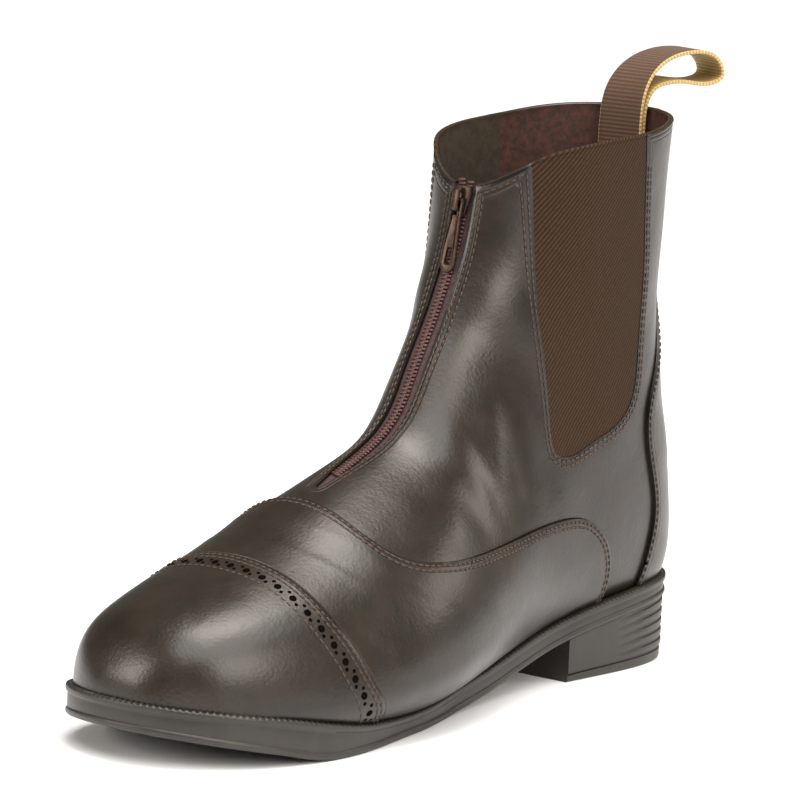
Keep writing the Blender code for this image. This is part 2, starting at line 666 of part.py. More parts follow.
def add_pull(metal):
    """The zip's pull: a long drop with two holes, hung by its round top bar under the slider's bridge."""
    place, up, out = zip_frame()
    pivot = place + out * PULL_LIFT
    drop = ((0.0, -2.7), (0.0, 2.7), (-7.0, 2.5), (-16.0, 2.9), (-23.0, 3.2), (-25.5, 2.4), (-26.5, 0.9),
            (-26.5, -0.9), (-25.5, -2.4), (-23.0, -3.2), (-16.0, -2.9), (-7.0, -2.5))
    window = ((-0.5, -1.5), (-0.5, 1.5), (-5.6, 1.5), (-5.6, -1.5))
    hole = ((-17.5, -1.0), (-17.5, 1.0), (-23.5, 1.4), (-23.5, -1.4))
    thick = PULL_THICK / 2
    low, high = PULL_LIFT - thick, PULL_LIFT + thick
    pull = add_object("zip_pull", lambda bm: fill_block(bm, drop, low, high, "flat"), metal)
    tools = (
        ("pull_window", "DIFFERENCE", lambda bm: fill_block(bm, window, low - 2.0, high + 2.0, "flat")),
        ("pull_hole", "DIFFERENCE", lambda bm: fill_block(bm, hole, low - 2.0, high + 2.0, "flat")),
        ("pull_bar", "UNION", lambda bm: fill_bar(bm, pivot)),
    )
    for name, operation, fill in tools:
        tool = add_object(name, fill)
        tool.data.transform(Matrix.Translation(-pivot * MM))
        tool.location = pivot * MM
        add_boolean(pull, operation, tool)
    pull.data.transform(Matrix.Translation(-pivot * MM))
    pull.location = pivot * MM


def fill_loop(bm):
    """A webbing loop with both ends inside the back of the collar."""
    line = smooth_line(LOOP, 52)
    way = np.gradient(line[:, :3], axis=0)
    way = way / np.linalg.norm(way, axis=1, keepdims=True)
    turn = np.radians(line[:, 3])
    wide = np.stack([np.sin(turn), np.cos(turn), 0.0 * turn], -1)
    thick = np.cross(way, wide)
    thick = thick / np.linalg.norm(thick, axis=1, keepdims=True)
    grid = []
    for centre, w, t in zip(line[:, :3], wide * LOOP_WIDTH / 2, thick * LOOP_THICK / 2):
        grid.append([bm.verts.new(centre + corner) for corner in (w + t, w - t, -w - t, -w + t)])
    for i in range(len(grid) - 1):
        for j in range(4):
            after = (j + 1) % 4
            bm.faces.new((grid[i][j], grid[i][after], grid[i + 1][after], grid[i + 1][j]))
    bm.faces.new(grid[0])
    bm.faces.new(grid[-1])


def add_material(name, colour, roughness, metallic=0.0):
    """A plain material with a base colour given as red, green and blue bytes."""
    material = bpy.data.materials.new(name)
    material.use_nodes = True
    shader = material.node_tree.nodes["Principled BSDF"]
    linear = [(value / 255.0) ** 2.2 for value in colour]
    shader.inputs["Base Color"].default_value = (*linear, 1.0)
    shader.inputs["Roughness"].default_value = roughness
    shader.inputs["Metallic"].default_value = metallic
    return material


def clear_scene():
    for old in list(bpy.data.objects):
        bpy.data.objects.remove(old)


def add_zip(cutters, tape, metal):
    """The front zip: tape behind the slot, coil in it, slider and pull at its top."""
    rows = np.linspace(ZIP_START - 0.2, AT_END, 22)
    top = -WALL - 3.0 * GAP
    halves = TAPE_HALF - 4.0 * np.clip((11.2 - rows) / 1.4, 0.0, 1.0)
    strip = add_object("zip_tape", lambda bm: fill_strip(bm, rows, halves, top - TAPE_THICK, top, 2), tape)
    add_boolean(strip, "DIFFERENCE", cutters["rim"])
    rows = np.linspace(ZIP_START + 0.5, SLIDER_AT, 22)
    halves = COIL_HALF - 2.0 * np.clip((11.4 - rows) / 1.0, 0.0, 1.0)
    add_object("zip_coil", lambda bm: fill_ribbon(bm, rows, halves, -WALL, -COIL_SINK), tape)
    add_slider(metal)
    add_pull(metal)


def main():
    clear_scene()
    leather = add_material("brown leather", (62, 48, 42), 0.42)
    elastic = add_material("brown elastic", (79, 58, 43), 0.85)
    webbing = add_material("brown webbing", (107, 74, 51), 0.8)
    rubber = add_material("dark rubber", (66, 60, 54), 0.6)
    lining = add_material("red brown lining", (90, 47, 34), 0.8)
    tape = add_material("zip tape", (70, 48, 46), 0.7)
    metal = add_material("dark bronze metal", (74, 58, 50), 0.35, 0.9)
    gore_outline = smooth_line(GORE, 60)
    cutters = {
        "floor": add_floor_cutter(),
        "rim": add_rim_cutter(),
        "gore_left": add_prism("gore_left_cutter", gore_outline, 6.0, 80.0),
        "gore_right": add_prism("gore_right_cutter", gore_outline, -80.0, -6.0),
        "slot": add_slot_cutter(),
    }
    add_upper(cutters, leather)
    add_gore("gore_left", 6.0, 80.0, cutters, elastic)
    add_gore("gore_right", -80.0, -6.0, cutters, elastic)
    add_overlay("toe_cap", CAP_THICK, cap_outline(), cutters, leather)
    add_overlay("vamp", VAMP_THICK, vamp_outline(), cutters, leather)
    add_overlay("backstay", STAY_THICK, stay_outline(), cutters, leather, "MANIFOLD")
    add_object("spur_rest", fill_spur_rest, leather)
    add_sole(rubber)
    add_object("insole", fill_insole, lining)
    add_zip(cutters, tape, metal)
    add_object("pull_loop", fill_loop, webbing)


main()
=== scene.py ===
"""A zip-front paddock boot in brown leather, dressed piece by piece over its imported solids.

The boot's frame is +X to the toe, +Y to the wearer's left and +Z up, with the origin under the heel.
Shapes are worked out in millimetres and become metres when a mesh is finished.
"""

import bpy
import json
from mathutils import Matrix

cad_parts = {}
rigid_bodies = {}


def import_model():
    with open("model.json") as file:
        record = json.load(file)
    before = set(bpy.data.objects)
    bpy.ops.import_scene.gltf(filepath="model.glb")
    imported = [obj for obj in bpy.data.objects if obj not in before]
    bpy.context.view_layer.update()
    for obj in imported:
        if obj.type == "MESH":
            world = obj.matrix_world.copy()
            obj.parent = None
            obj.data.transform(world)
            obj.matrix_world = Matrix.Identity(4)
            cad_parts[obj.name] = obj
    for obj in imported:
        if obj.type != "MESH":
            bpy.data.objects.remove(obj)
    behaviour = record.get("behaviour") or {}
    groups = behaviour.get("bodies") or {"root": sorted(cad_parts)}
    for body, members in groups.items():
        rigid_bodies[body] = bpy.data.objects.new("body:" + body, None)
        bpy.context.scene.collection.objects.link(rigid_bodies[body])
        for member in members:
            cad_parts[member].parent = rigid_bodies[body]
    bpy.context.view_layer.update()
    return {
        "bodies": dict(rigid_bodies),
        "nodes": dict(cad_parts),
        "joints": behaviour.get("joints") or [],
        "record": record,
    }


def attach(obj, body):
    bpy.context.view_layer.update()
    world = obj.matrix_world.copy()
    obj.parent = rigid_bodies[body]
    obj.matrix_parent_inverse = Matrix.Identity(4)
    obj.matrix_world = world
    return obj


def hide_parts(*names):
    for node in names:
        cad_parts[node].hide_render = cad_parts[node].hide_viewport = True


bl_info = {
    "name": "Paddock Boot",
    "version": (1, 0, 0),
    "blender": (4, 5, 0),
    "location": "3D View > Sidebar > Boot",
    "description": "Builds a zip-front paddock boot with its leather, elastic, zip and sole",
    "category": "Add Mesh",
}

import json
import math

import bmesh
import bpy
import numpy as np
from bpy.props import FloatProperty, IntProperty, PointerProperty, StringProperty
from bpy.types import Operator, Panel, PropertyGroup
from mathutils import Matrix, Vector

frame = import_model()
MM = 0.001
# a wave texture at scale 1 has this many bands in a unit
WAVE = 3.18

# one row per section of the last, from the toe to the collar
SECTION_COLUMNS = (
    "at", "foot_x", "foot_z", "top_x", "top_z", "left", "right", "mid_y", "ridge_y", "wide", "square", "low",
)
SECTIONS = (
    (0.0, 243.0, 21.5, 243.0, 21.5, 0.0, 0.0, -7.0, -7.0, 0.50, 0.00, 0.00),
    (1.3, 241.5, 15.0, 241.5, 29.5, 12.5, 12.5, -7.0, -7.0, 0.26, 0.03, 0.00),
    (2.6, 236.0, 12.0, 236.0, 39.0, 22.0, 23.0, -7.0, -7.0, 0.27, 0.04, 0.00),
    (4.0, 227.0, 8.0, 227.0, 46.5, 31.0, 32.0, -6.0, -7.0, 0.27, 0.04, 0.00),
    (5.4, 213.5, 5.0, 213.5, 52.0, 38.0, 37.5, -4.5, -6.0, 0.28, 0.04, 0.00),
    (6.8, 196.5, 3.0, 196.5, 58.5, 43.5, 41.5, -2.5, -5.0, 0.29, 0.03, 0.00),
    (8.2, 175.5, 1.0, 176.5, 67.5, 48.5, 45.0, -1.0, -4.0, 0.29, 0.01, 0.00),
    (9.5, 153.5, 1.0, 157.0, 78.0, 51.0, 43.5, -0.5, -3.0, 0.29, 0.00, 0.00),
    (10.8, 129.5, 2.0, 133.5, 88.0, 51.0, 39.5, 0.0, -2.0, 0.29, -0.01, 0.00),
    (12.1, 102.5, 5.0, 114.5, 97.5, 47.0, 36.5, 0.0, -1.0, 0.30, -0.02, 0.00),
    (13.4, 72.0, 9.0, 104.5, 108.0, 40.5, 34.5, 0.0, 0.0, 0.32, -0.02, 0.00),
    (14.7, 38.0, 13.0, 98.0, 119.5, 35.5, 33.5, 0.0, 0.0, 0.35, -0.01, 0.00),
    (16.0, 4.0, 15.0, 91.5, 131.0, 34.0, 33.5, 0.0, 0.0, 0.38, 0.00, 0.02),
    (17.2, -29.5, 21.0, 86.0, 141.0, 33.5, 33.5, 0.0, 0.0, 0.42, 0.01, 0.05),
    (18.3, -40.0, 40.0, 81.5, 150.0, 33.5, 33.5, 0.0, 0.0, 0.45, 0.02, 0.05),
    (19.4, -39.5, 64.0, 77.8, 158.5, 33.0, 33.0, 0.0, 0.0, 0.47, 0.02, 0.04),
    (20.6, -34.5, 92.0, 75.0, 167.0, 33.0, 33.0, 0.0, 0.0, 0.48, 0.02, 0.03),
    (21.9, -30.5, 124.0, 72.8, 176.0, 34.0, 34.0, 0.0, 0.0, 0.48, 0.02, 0.02),
    (23.2, -30.0, 161.0, 71.0, 185.0, 35.5, 35.5, 0.0, 0.0, 0.48, 0.02, 0.02),
    (24.6, -31.5, 205.0, 69.5, 194.0, 37.0, 37.0, 0.0, 0.0, 0.48, 0.02, 0.02),
    (26.0, -33.0, 240.0, 68.0, 203.0, 38.0, 38.0, 0.0, 0.0, 0.48, 0.02, 0.02),
)
# heights along the boot: where the upper meets the sole, and the sole's underside ahead of the heel
PROFILE = (
    (-45.0, 34.0, 25.5),
    (-20.0, 32.0, 23.5),
    (0.0, 29.8, 21.3),
    (30.0, 25.4, 16.4),
    (60.0, 19.4, 10.0),
    (90.0, 12.6, 3.2),
    (115.0, 8.6, 0.0),
    (140.0, 8.0, 0.0),
    (165.0, 9.4, 0.0),
    (188.0, 12.6, 0.0),
    (212.0, 17.2, 4.6),
    (235.0, 20.6, 9.4),
    (262.0, 24.0, 15.0),
)
# seams in the side view, as (x, z)
COLLAR = ((90.0, 176.0), (74.0, 182.0), (68.0, 188.0), (58.0, 196.0), (46.0, 199.5), (24.0, 202.0),
          (4.0, 203.5), (-15.0, 206.0), (-34.0, 208.0), (-60.0, 209.0))
GORE = ((12.5, 230.0), (11.0, 202.0), (3.5, 150.0), (3.0, 118.0), (6.0, 104.0), (15.0, 96.0),
        (30.0, 90.5), (42.0, 86.5), (50.0, 87.5), (53.5, 100.0), (57.0, 130.0), (60.0, 165.0),
        (61.5, 196.0), (62.0, 230.0))
CAP_EDGE = ((190.0, 80.0), (188.0, 63.0), (185.5, 50.0), (180.0, 38.0), (173.5, 25.0), (163.5, 8.0),
            (160.0, -10.0))
VAMP_TOP = ((152.0, 95.0), (155.0, 80.0), (154.5, 71.0), (148.0, 64.0), (136.0, 60.5), (100.0, 60.0),
            (68.0, 62.5), (48.0, 64.0), (32.0, 61.5), (21.0, 53.0), (15.5, 42.0), (13.0, 20.0))
STAY_EDGE = ((-8.0, 20.0), (-8.5, 34.0), (-11.0, 47.0), (-12.5, 59.0), (-9.5, 71.0), (-5.5, 84.0),
             (-5.0, 98.0), (-11.0, 111.0), (-19.0, 125.0), (-24.5, 145.0), (-27.6, 172.0), (-28.5, 190.0),
             (-29.0, 212.0))
# the pull loop's middle line as (x, y, z, turn): turn is its width's turn about the upright axis, in degrees
LOOP = (
    (-23.9, 0.0, 184.0, 0.0),
    (-24.1, 0.0, 203.0, 0.0),
    (-25.8, 0.3, 213.0, 2.0),
    (-31.0, 2.0, 221.5, 8.0),
    (-40.0, 5.5, 227.0, 15.0),
    (-50.5, 10.0, 228.5, 20.0),
    (-58.5, 13.5, 225.5, 24.0),
    (-60.5, 14.5, 219.5, 25.0),
    (-54.0, 11.5, 216.5, 22.0),
    (-45.0, 7.5, 217.3, 16.0),
    (-37.5, 4.0, 217.0, 10.0),
    (-30.5, 1.2, 214.2, 4.0),
    (-26.8, 0.1, 207.5, 0.0),
    (-26.2, 0.0, 200.0, 0.0),
    (-26.0, 0.0, 184.0, 0.0),
)
# soft troughs (negative) and ridges (positive) in the leather: a segment in the side view, and its shape
CREASE_COLUMNS = ("x0", "z0", "x1", "z1", "side", "width", "height")
CREASES = (
    (104.0, 84.0, 96.0, 62.0, 1, 4.0, -0.9),
    (92.0, 100.0, 86.0, 70.0, 1, 3.6, -1.0),
    (81.0, 108.0, 79.0, 78.0, 1, 3.6, 0.7),
    (74.0, 112.0, 71.0, 76.0, 1, 3.2, -0.8),
    (66.0, 104.0, 63.0, 72.0, 1, 3.0, 0.5),
    (60.0, 90.0, 52.0, 72.0, 1, 3.4, -0.7),
    (116.0, 84.0, 112.0, 66.0, 1, 4.5, 0.7),
    (150.0, 56.0, 166.0, 34.0, 1, 7.0, -1.1),
    (142.0, 48.0, 152.0, 22.0, 1, 8.0, 0.9),
    (164.0, 70.0, 172.0, 62.0, 0, 7.0, -0.8),
    (100.0, 84.0, 94.0, 62.0, -1, 4.2, -0.9),
    (88.0, 100.0, 84.0, 70.0, -1, 3.8, -0.8),
    (76.0, 108.0, 73.0, 76.0, -1, 3.6, 0.6),
    (148.0, 56.0, 162.0, 34.0, -1, 7.0, -1.0),
    (-20.0, 82.0, -34.0, 92.0, 0, 6.0, 0.6),
)
BREAST_X = 32.0
LAYER_GAP = 0.42
ZIP_START = 10.2
SLIDER_AT = 22.3
SLOT_TIP = 1.5
SLOT_RUN = 3.0
SLOT_FLARE = 1.8
SLOT_TIP_STEEPNESS = 16.0
SLOT_TURN = 1.2
PULL_LIFT = 2.45
PULL_BAR = 0.72
# how far in from a panel's edge its two rows of stitches run, and the one row ahead of the punched band
DOUBLE_ROW = (1.3, 3.0)
BAND_ROW = 9.0
# what a panel's grid is laid out by: the way from station to station and the way round half a section;
# then how wide a panel's edge rounds
STATION_LENGTH = 21.0
HALF_GIRTH = 140.0
EDGE_WIDTH = 1.3


def spline(knots, values, start_slope=None):
    """A smooth curve through the points, as a function of the first coordinate."""
    knots = np.asarray(knots, float)
    values = np.asarray(values, float)
    steps = np.diff(knots)
    slopes = np.diff(values) / steps
    count = len(knots)
    matrix = np.zeros((count, count))
    right = np.zeros(count)
    matrix[0, 0] = 1.0
    matrix[-1, -1] = 1.0
    if start_slope is not None:
        matrix[0, :2] = (2 * steps[0], steps[0])
        right[0] = 6 * (slopes[0] - start_slope)
    for i in range(1, count - 1):
        matrix[i, i - 1:i + 2] = (steps[i - 1], 2 * (steps[i - 1] + steps[i]), steps[i])
        right[i] = 6 * (slopes[i] - slopes[i - 1])
    bend = np.linalg.solve(matrix, right)

    def curve(x):
        x = np.asarray(x, float)
        i = np.clip(np.searchsorted(knots, x, side="right") - 1, 0, count - 2)
        d = x - knots[i]
        h = steps[i]
        first = slopes[i] - h * (2 * bend[i] + bend[i + 1]) / 6
        return values[i] + d * (first + d * (bend[i] / 2 + d * (bend[i + 1] - bend[i]) / (6 * h)))

    return curve


def monotone(knots, values):
    """A smooth curve through the points that never overshoots them."""
    knots = np.asarray(knots, float)
    values = np.asarray(values, float)
    steps = np.diff(knots)
    slopes = np.diff(values) / steps
    ends = np.concatenate([[slopes[0]], slopes, [slopes[-1]]])
    before, after = ends[:-1], ends[1:]
    product = before * after
    tangent = np.where(product > 0, 2 * product / np.where(before + after == 0, 1, before + after), 0.0)

    def curve(x):
        x = np.clip(np.asarray(x, float), knots[0], knots[-1])
        i = np.clip(np.searchsorted(knots, x, side="right") - 1, 0, len(knots) - 2)
        h = steps[i]
        t = (x - knots[i]) / h
        a = (1 + 2 * t) * (1 - t) ** 2 * values[i] + t * (1 - t) ** 2 * h * tangent[i]
        return a + t * t * (3 - 2 * t) * values[i + 1] + t * t * (t - 1) * h * tangent[i + 1]

    return curve


TABLE = np.array(SECTIONS)
STATIONS = TABLE[:, 0]
AT_END = STATIONS[-1]
SECTION_CURVES = {
    name: spline(STATIONS, TABLE[:, k], 0.0 if name in ("foot_x", "top_x") else None)
    for k, name in enumerate(SECTION_COLUMNS)
    if name != "at"
}
HEIGHTS = np.array(PROFILE)
feather_height = monotone(HEIGHTS[:, 0], HEIGHTS[:, 1])
under_height = monotone(HEIGHTS[:, 0], HEIGHTS[:, 2])


def surface(at, turn):
    """A point of the upper's outside: turn runs from 0 on the ridge to pi below on the left, -pi right."""
    at, turn = np.broadcast_arrays(np.asarray(at, float), np.asarray(turn, float))
    side = np.where(turn < 0, -1.0, 1.0)
    turn = np.abs(turn)
    row = {name: curve(at) for name, curve in SECTION_CURVES.items()}
    squareness = np.where(turn < np.pi / 2, row["square"], row["low"])
    across = (np.sin(turn) + squareness * np.sin(3 * turn)) / (1 - squareness)
    cosine = (np.cos(turn) - squareness * np.cos(3 * turn)) / (1 - squareness)
    above = row["wide"] + (1 - row["wide"]) * cosine
    below = row["wide"] * (1 + cosine)
    up = np.where(turn < np.pi / 2, above, below)
    half = np.where(side > 0, row["left"], row["right"])
    x = row["foot_x"] + (row["top_x"] - row["foot_x"]) * up
    y = row["mid_y"] + (row["ridge_y"] - row["mid_y"]) * up + side * half * across
    z = row["foot_z"] + (row["top_z"] - row["foot_z"]) * up
    return np.stack([x, y, z], -1)


def outward(at, turn):
    """The upper's outward unit normal."""
    at, turn = np.broadcast_arrays(np.asarray(at, float), np.asarray(turn, float))
    step = 0.01
    safe = np.clip(at, 3 * step, AT_END)
    side = np.where(turn < 0, -1.0, 1.0)
    size = np.clip(np.abs(turn), step, np.pi - step) * side
    along = surface(safe + step, size) - surface(safe - step, size)
    around = surface(safe, size + step / 2) - surface(safe, size - step / 2)
    normal = np.cross(around, along)
    normal = normal / np.maximum(np.linalg.norm(normal, axis=-1, keepdims=True), 1e-9)
    edge = (np.abs(turn) < step) | (np.abs(turn) > np.pi - step)
    normal[..., 1] = np.where(edge, 0.0, normal[..., 1])
    return normal / np.maximum(np.linalg.norm(normal, axis=-1, keepdims=True), 1e-9)


def last_turns(drop, ease=0.0):
    """How far round each section goes before it meets the sole, eased in where the back closes below."""
    ats = np.linspace(0.0, AT_END, 1600)
    tables = {}
    for side in (-1.0, 1.0):
        low = np.full(ats.shape, 0.3 * np.pi)
        high = np.full(ats.shape, np.pi)
        bottom = surface(ats, side * high)
        closed = bottom[:, 2] >= feather_height(bottom[:, 0]) - drop
        for _ in range(40):
            middle = (low + high) / 2
            point = surface(ats, side * middle)
            above = point[:, 2] > feather_height(point[:, 0]) - drop
            low = np.where(above, middle, low)
            high = np.where(above, high, middle)
        back = ats[np.flatnonzero(closed & (ats > 12.0))[0]]
        share = np.clip((ats - back + ease) / max(ease, 1e-6), 0.0, 1.0)
        eased = low + (np.pi - low) * share * share * (3.0 - 2.0 * share)
        tables[side] = np.where(closed, np.pi, np.where(ats > 12.0, eased, low))
    return lambda at, side: np.where(side < 0, np.interp(at, ats, tables[-1.0]),
                                     np.interp(at, ats, tables[1.0]))


meets_sole = last_turns(0.0)
tucks_under = last_turns(0.5, 1.8)


def smooth_line(points, count):
    """Evenly spaced points of a smooth curve through given ones."""
    points = np.asarray(points, float)
    along = np.concatenate([[0.0], np.cumsum(np.linalg.norm(np.diff(points[:, :3], axis=0), axis=1))])
    at = np.linspace(0.0, along[-1], count)
    return np.stack([spline(along, points[:, k])(at) for k in range(points.shape[1])], -1)


def line_distance(places, line):
    """Signed distance in the side view to an open line: positive on the left as it runs."""
    places = np.asarray(places)
    best = np.full(len(places), 1e9)
    sign = np.ones(len(places))
    for a, b in zip(line[:-1], line[1:]):
        way = b - a
        share = np.clip(((places - a) @ way) / (way @ way), 0.0, 1.0)
        gap = places - a - share[:, None] * way
        size = np.einsum("ij,ij->i", gap, gap)
        nearer = size < best
        best = np.where(nearer, size, best)
        sign = np.where(nearer, np.where(way[0] * gap[:, 1] - way[1] * gap[:, 0] < 0, -1.0, 1.0), sign)
    return np.sqrt(best) * sign


def seam_grid(points):
    """Signed distances to a seam over the side view, read back by interpolation."""
    x, z = np.meshgrid(GRID_X, GRID_Z, indexing="ij")
    return line_distance(np.stack([x.ravel(), z.ravel()], -1), smooth_line(points, 80)).reshape(x.shape)


GRID_STEP = 0.75
GRID_X = np.arange(-90.0, 275.0, GRID_STEP)
GRID_Z = np.arange(-30.0, 270.0, GRID_STEP)
SEAMS = {
    "collar": seam_grid(COLLAR),
    "gore": seam_grid(GORE),
    "cap": seam_grid(CAP_EDGE),
    "vamp": seam_grid(VAMP_TOP),
    "stay": seam_grid(STAY_EDGE),
}
CREASE_TABLE = [dict(zip(CREASE_COLUMNS, row)) for row in CREASES]


def seam(name, at, turn):
    """Signed distance to a named seam, in millimetres."""
    places = surface(at, turn)
    grid = SEAMS[name]
    i = np.clip((places[..., 0] - GRID_X[0]) / GRID_STEP, 0.0, len(GRID_X) - 1.001)
    j = np.clip((places[..., 2] - GRID_Z[0]) / GRID_STEP, 0.0, len(GRID_Z) - 1.001)
    a, b = i.astype(int), j.astype(int)
    u, v = i - a, j - b
    near = grid[a, b] * (1.0 - u) + grid[a + 1, b] * u
    far = grid[a, b + 1] * (1.0 - u) + grid[a + 1, b + 1] * u
    return near * (1.0 - v) + far * v


def slot_half(at):
    """Half the width of the zip's opening at each section."""
    return SLOT_TIP + SLOT_RUN * np.sin(np.clip((at - ZIP_START) / SLOT_FLARE, 0.0, 1.0) * np.pi / 2)


def slot_distance(at, turn):
    """Distance from the zip's opening: negative inside it, and far beyond it wherever the last turns away."""
    point = surface(at, turn)
    ridge = surface(at, 0.0 * turn)
    below = np.maximum(ZIP_START - at, 0.0) * SLOT_TIP_STEEPNESS
    reach = np.hypot(point[..., 1] - ridge[..., 1], below) - slot_half(at)
    return np.where(np.abs(turn) < SLOT_TURN, reach, 60.0)


def relief(at, turn):
    """Height of the leather's creases at each place, in millimetres."""
    point = surface(at, turn)
    x, y, z = point[..., 0], point[..., 1], point[..., 2]
    height = np.zeros(x.shape)
    for crease in CREASE_TABLE:
        start = np.array([crease["x0"], crease["z0"]])
        way = np.array([crease["x1"], crease["z1"]]) - start
        share = ((x - start[0]) * way[0] + (z - start[1]) * way[1]) / (way @ way)
        near = np.clip(share, 0.0, 1.0)
        gap = np.hypot(x - start[0] - near * way[0], z - start[1] - near * way[1])
        fade = np.exp(-(gap / (1.6 * crease["width"])) ** 2) * (0.35 + 0.65 * np.sin(np.pi * near) ** 0.5)
        if crease["side"]:
            fade = fade * np.clip(crease["side"] * y / 8.0, 0.0, 1.0)
        height = height + 0.55 * crease["height"] * fade
    slack = 0.22 * np.sin(x / 7.3 + z / 19.0) * np.sin(z / 11.0 - x / 31.0)
    quiet = np.clip((182.0 - x) / 30.0, 0.0, 1.0) * np.clip((z - 24.0) / 20.0, 0.0, 1.0)
    return height * np.clip((z - 12.0) / 14.0, 0.0, 1.0) + slack * quiet


def lifted(at, turn, lift):
    """Points of the creased upper, moved out along its normal."""
    height = np.asarray(lift, float) + relief(at, turn)
    return surface(at, turn) + outward(at, turn) * height[..., None]


def finish_mesh(name, bm, materials, body="boot", sharp=40.0):
    """Turns a bmesh in millimetres into a smooth shaded piece that rides on a body."""
    bmesh.ops.scale(bm, vec=(MM, MM, MM), verts=bm.verts)
    mesh = bpy.data.meshes.new(name)
    bm.to_mesh(mesh)
    bm.free()
    mesh.shade_smooth()
    mesh.set_sharp_from_angle(angle=math.radians(sharp))
    for material in materials:
        mesh.materials.append(material)
    piece = bpy.data.objects.new(name, mesh)
    bpy.context.collection.objects.link(piece)
    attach(piece, body)
    return piece


def layer_values(bm, name, values):
    """Keeps one number for each vertex, so that extruded copies inherit it."""
    layer = bm.verts.layers.float.new(name)
    for vert, value in zip(bm.verts, values):
        vert[layer] = value
    return layer


def snapped(at, turn, region, cell_at, cell_turn):
    """Moves the grid points next to a region's edge onto it, and gives each point's distance inside."""
    inside = region(at, turn)
    near = np.flatnonzero(np.abs(inside) < 4.0)
    a, t = at[near], turn[near]
    step_at, step_turn = 0.004, 0.002
    metric_at = np.linalg.norm(surface(a + step_at, t) - surface(a, t), axis=-1) / step_at + 1e-6
    metric_turn = np.linalg.norm(surface(a, t + step_turn) - surface(a, t), axis=-1) / step_turn + 1e-6
    picked = None
    for _ in range(4):
        value = region(a, t)
        slope_at = (region(a + step_at, t) - value) / step_at / metric_at
        slope_turn = (region(a, t + step_turn) - value) / step_turn / metric_turn
        if picked is None:
            reach = np.abs(slope_at) * metric_at * cell_at + np.abs(slope_turn) * metric_turn * cell_turn
            picked = np.abs(value) < 0.53 * reach
        share = np.clip(value / np.maximum(slope_at ** 2 + slope_turn ** 2, 0.05), -1.5, 1.5)
        a = np.clip(a - share * slope_at / metric_at, 0.0, AT_END)
        t = np.clip(t - share * slope_turn / metric_turn, -np.pi, np.pi)
    picked = picked & (np.abs(region(a, t)) < 0.15)
    at, turn = at.copy(), turn.copy()
    at[near[picked]] = a[picked]
    turn[near[picked]] = t[picked]
    inside[near[picked]] = 0.0
    return at, turn, inside


def leather_panel(region, lift, thick, at_range=(0.0, 26.0), sides=(-1.0, 1.0), spacing=1.4, round_edge=0.5,
                  flip=False):
    """A panel of the upper: a fine grid on the last, trimmed to its region, with folded edges."""
    rows = int((at_range[1] - at_range[0]) * STATION_LENGTH / spacing)
    columns = int(HALF_GIRTH * len(sides) / spacing)
    bm = bmesh.new()
    bmesh.ops.create_grid(bm, x_segments=columns, y_segments=rows, size=1.0)
    place = np.array([vert.co[:2] for vert in bm.verts])
    low, high = (-1.0 if -1.0 in sides else 0.0), (1.0 if 1.0 in sides else 0.0)
    share = low + (place[:, 0] + 1.0) / 2.0 * (high - low)
    at = at_range[0] + (place[:, 1] + 1.0) / 2.0 * (at_range[1] - at_range[0])
    turn = share * tucks_under(at, share)
    cell_at = (at_range[1] - at_range[0]) / rows
    at, turn, inside = snapped(at, turn, region, cell_at, np.pi * (high - low) / columns)
    layer_values(bm, "at", at)
    layer_values(bm, "turn", turn)
    layer_values(bm, "inside", inside)
    bmesh.ops.triangulate(bm, faces=bm.faces)
    kept = bm.verts.layers.float["inside"]
    lost = [face for face in bm.faces if sum(vert[kept] for vert in face.verts) < 0.02
            or min(vert[kept] for vert in face.verts) < -0.05]
    bmesh.ops.delete(bm, geom=lost, context="FACES")
    place_verts(bm, list(bm.verts), lift, round_edge)
    bmesh.ops.remove_doubles(bm, verts=bm.verts, dist=0.02)
    edges = [edge for edge in bm.edges if edge.is_boundary]
    if thick > 0.0:
        made = bmesh.ops.extrude_edge_only(bm, edges=edges)
        rim = [item for item in made["geom"] if isinstance(item, bmesh.types.BMVert)]
        place_verts(bm, rim, lift - thick, 0.0)
    bmesh.ops.recalc_face_normals(bm, faces=bm.faces)
    face_out(bm, flip)
    return bm


def place_verts(bm, verts, lift, round_edge):
    """Puts vertices on the last by their stored place, lower where they near an edge."""
    keys = [bm.verts.layers.float[name] for name in ("at", "turn", "inside")]
    values = np.array([[vert[key] for key in keys] for vert in verts])
    if not len(values):
        return
    drop = 0.55 * round_edge * (1.0 - np.clip(values[:, 2] / EDGE_WIDTH, 0.0, 1.0)) ** 2
    points = lifted(values[:, 0], values[:, 1], lift - drop)
    for vert, point in zip(verts, points):
        vert.co = point


def face_out(bm, flip):
    """Turns all faces outwards from the last's middle, or inwards for a lining."""
    keys = [bm.verts.layers.float[name] for name in ("at", "turn")]
    total = 0.0
    for face in list(bm.faces)[::37]:
        at, turn = (face.verts[0][key] for key in keys)
        total += float(np.dot(outward(at, turn), face.normal)) * face.calc_area()
    if (total < 0) != flip:
        bmesh.ops.reverse_faces(bm, faces=bm.faces)


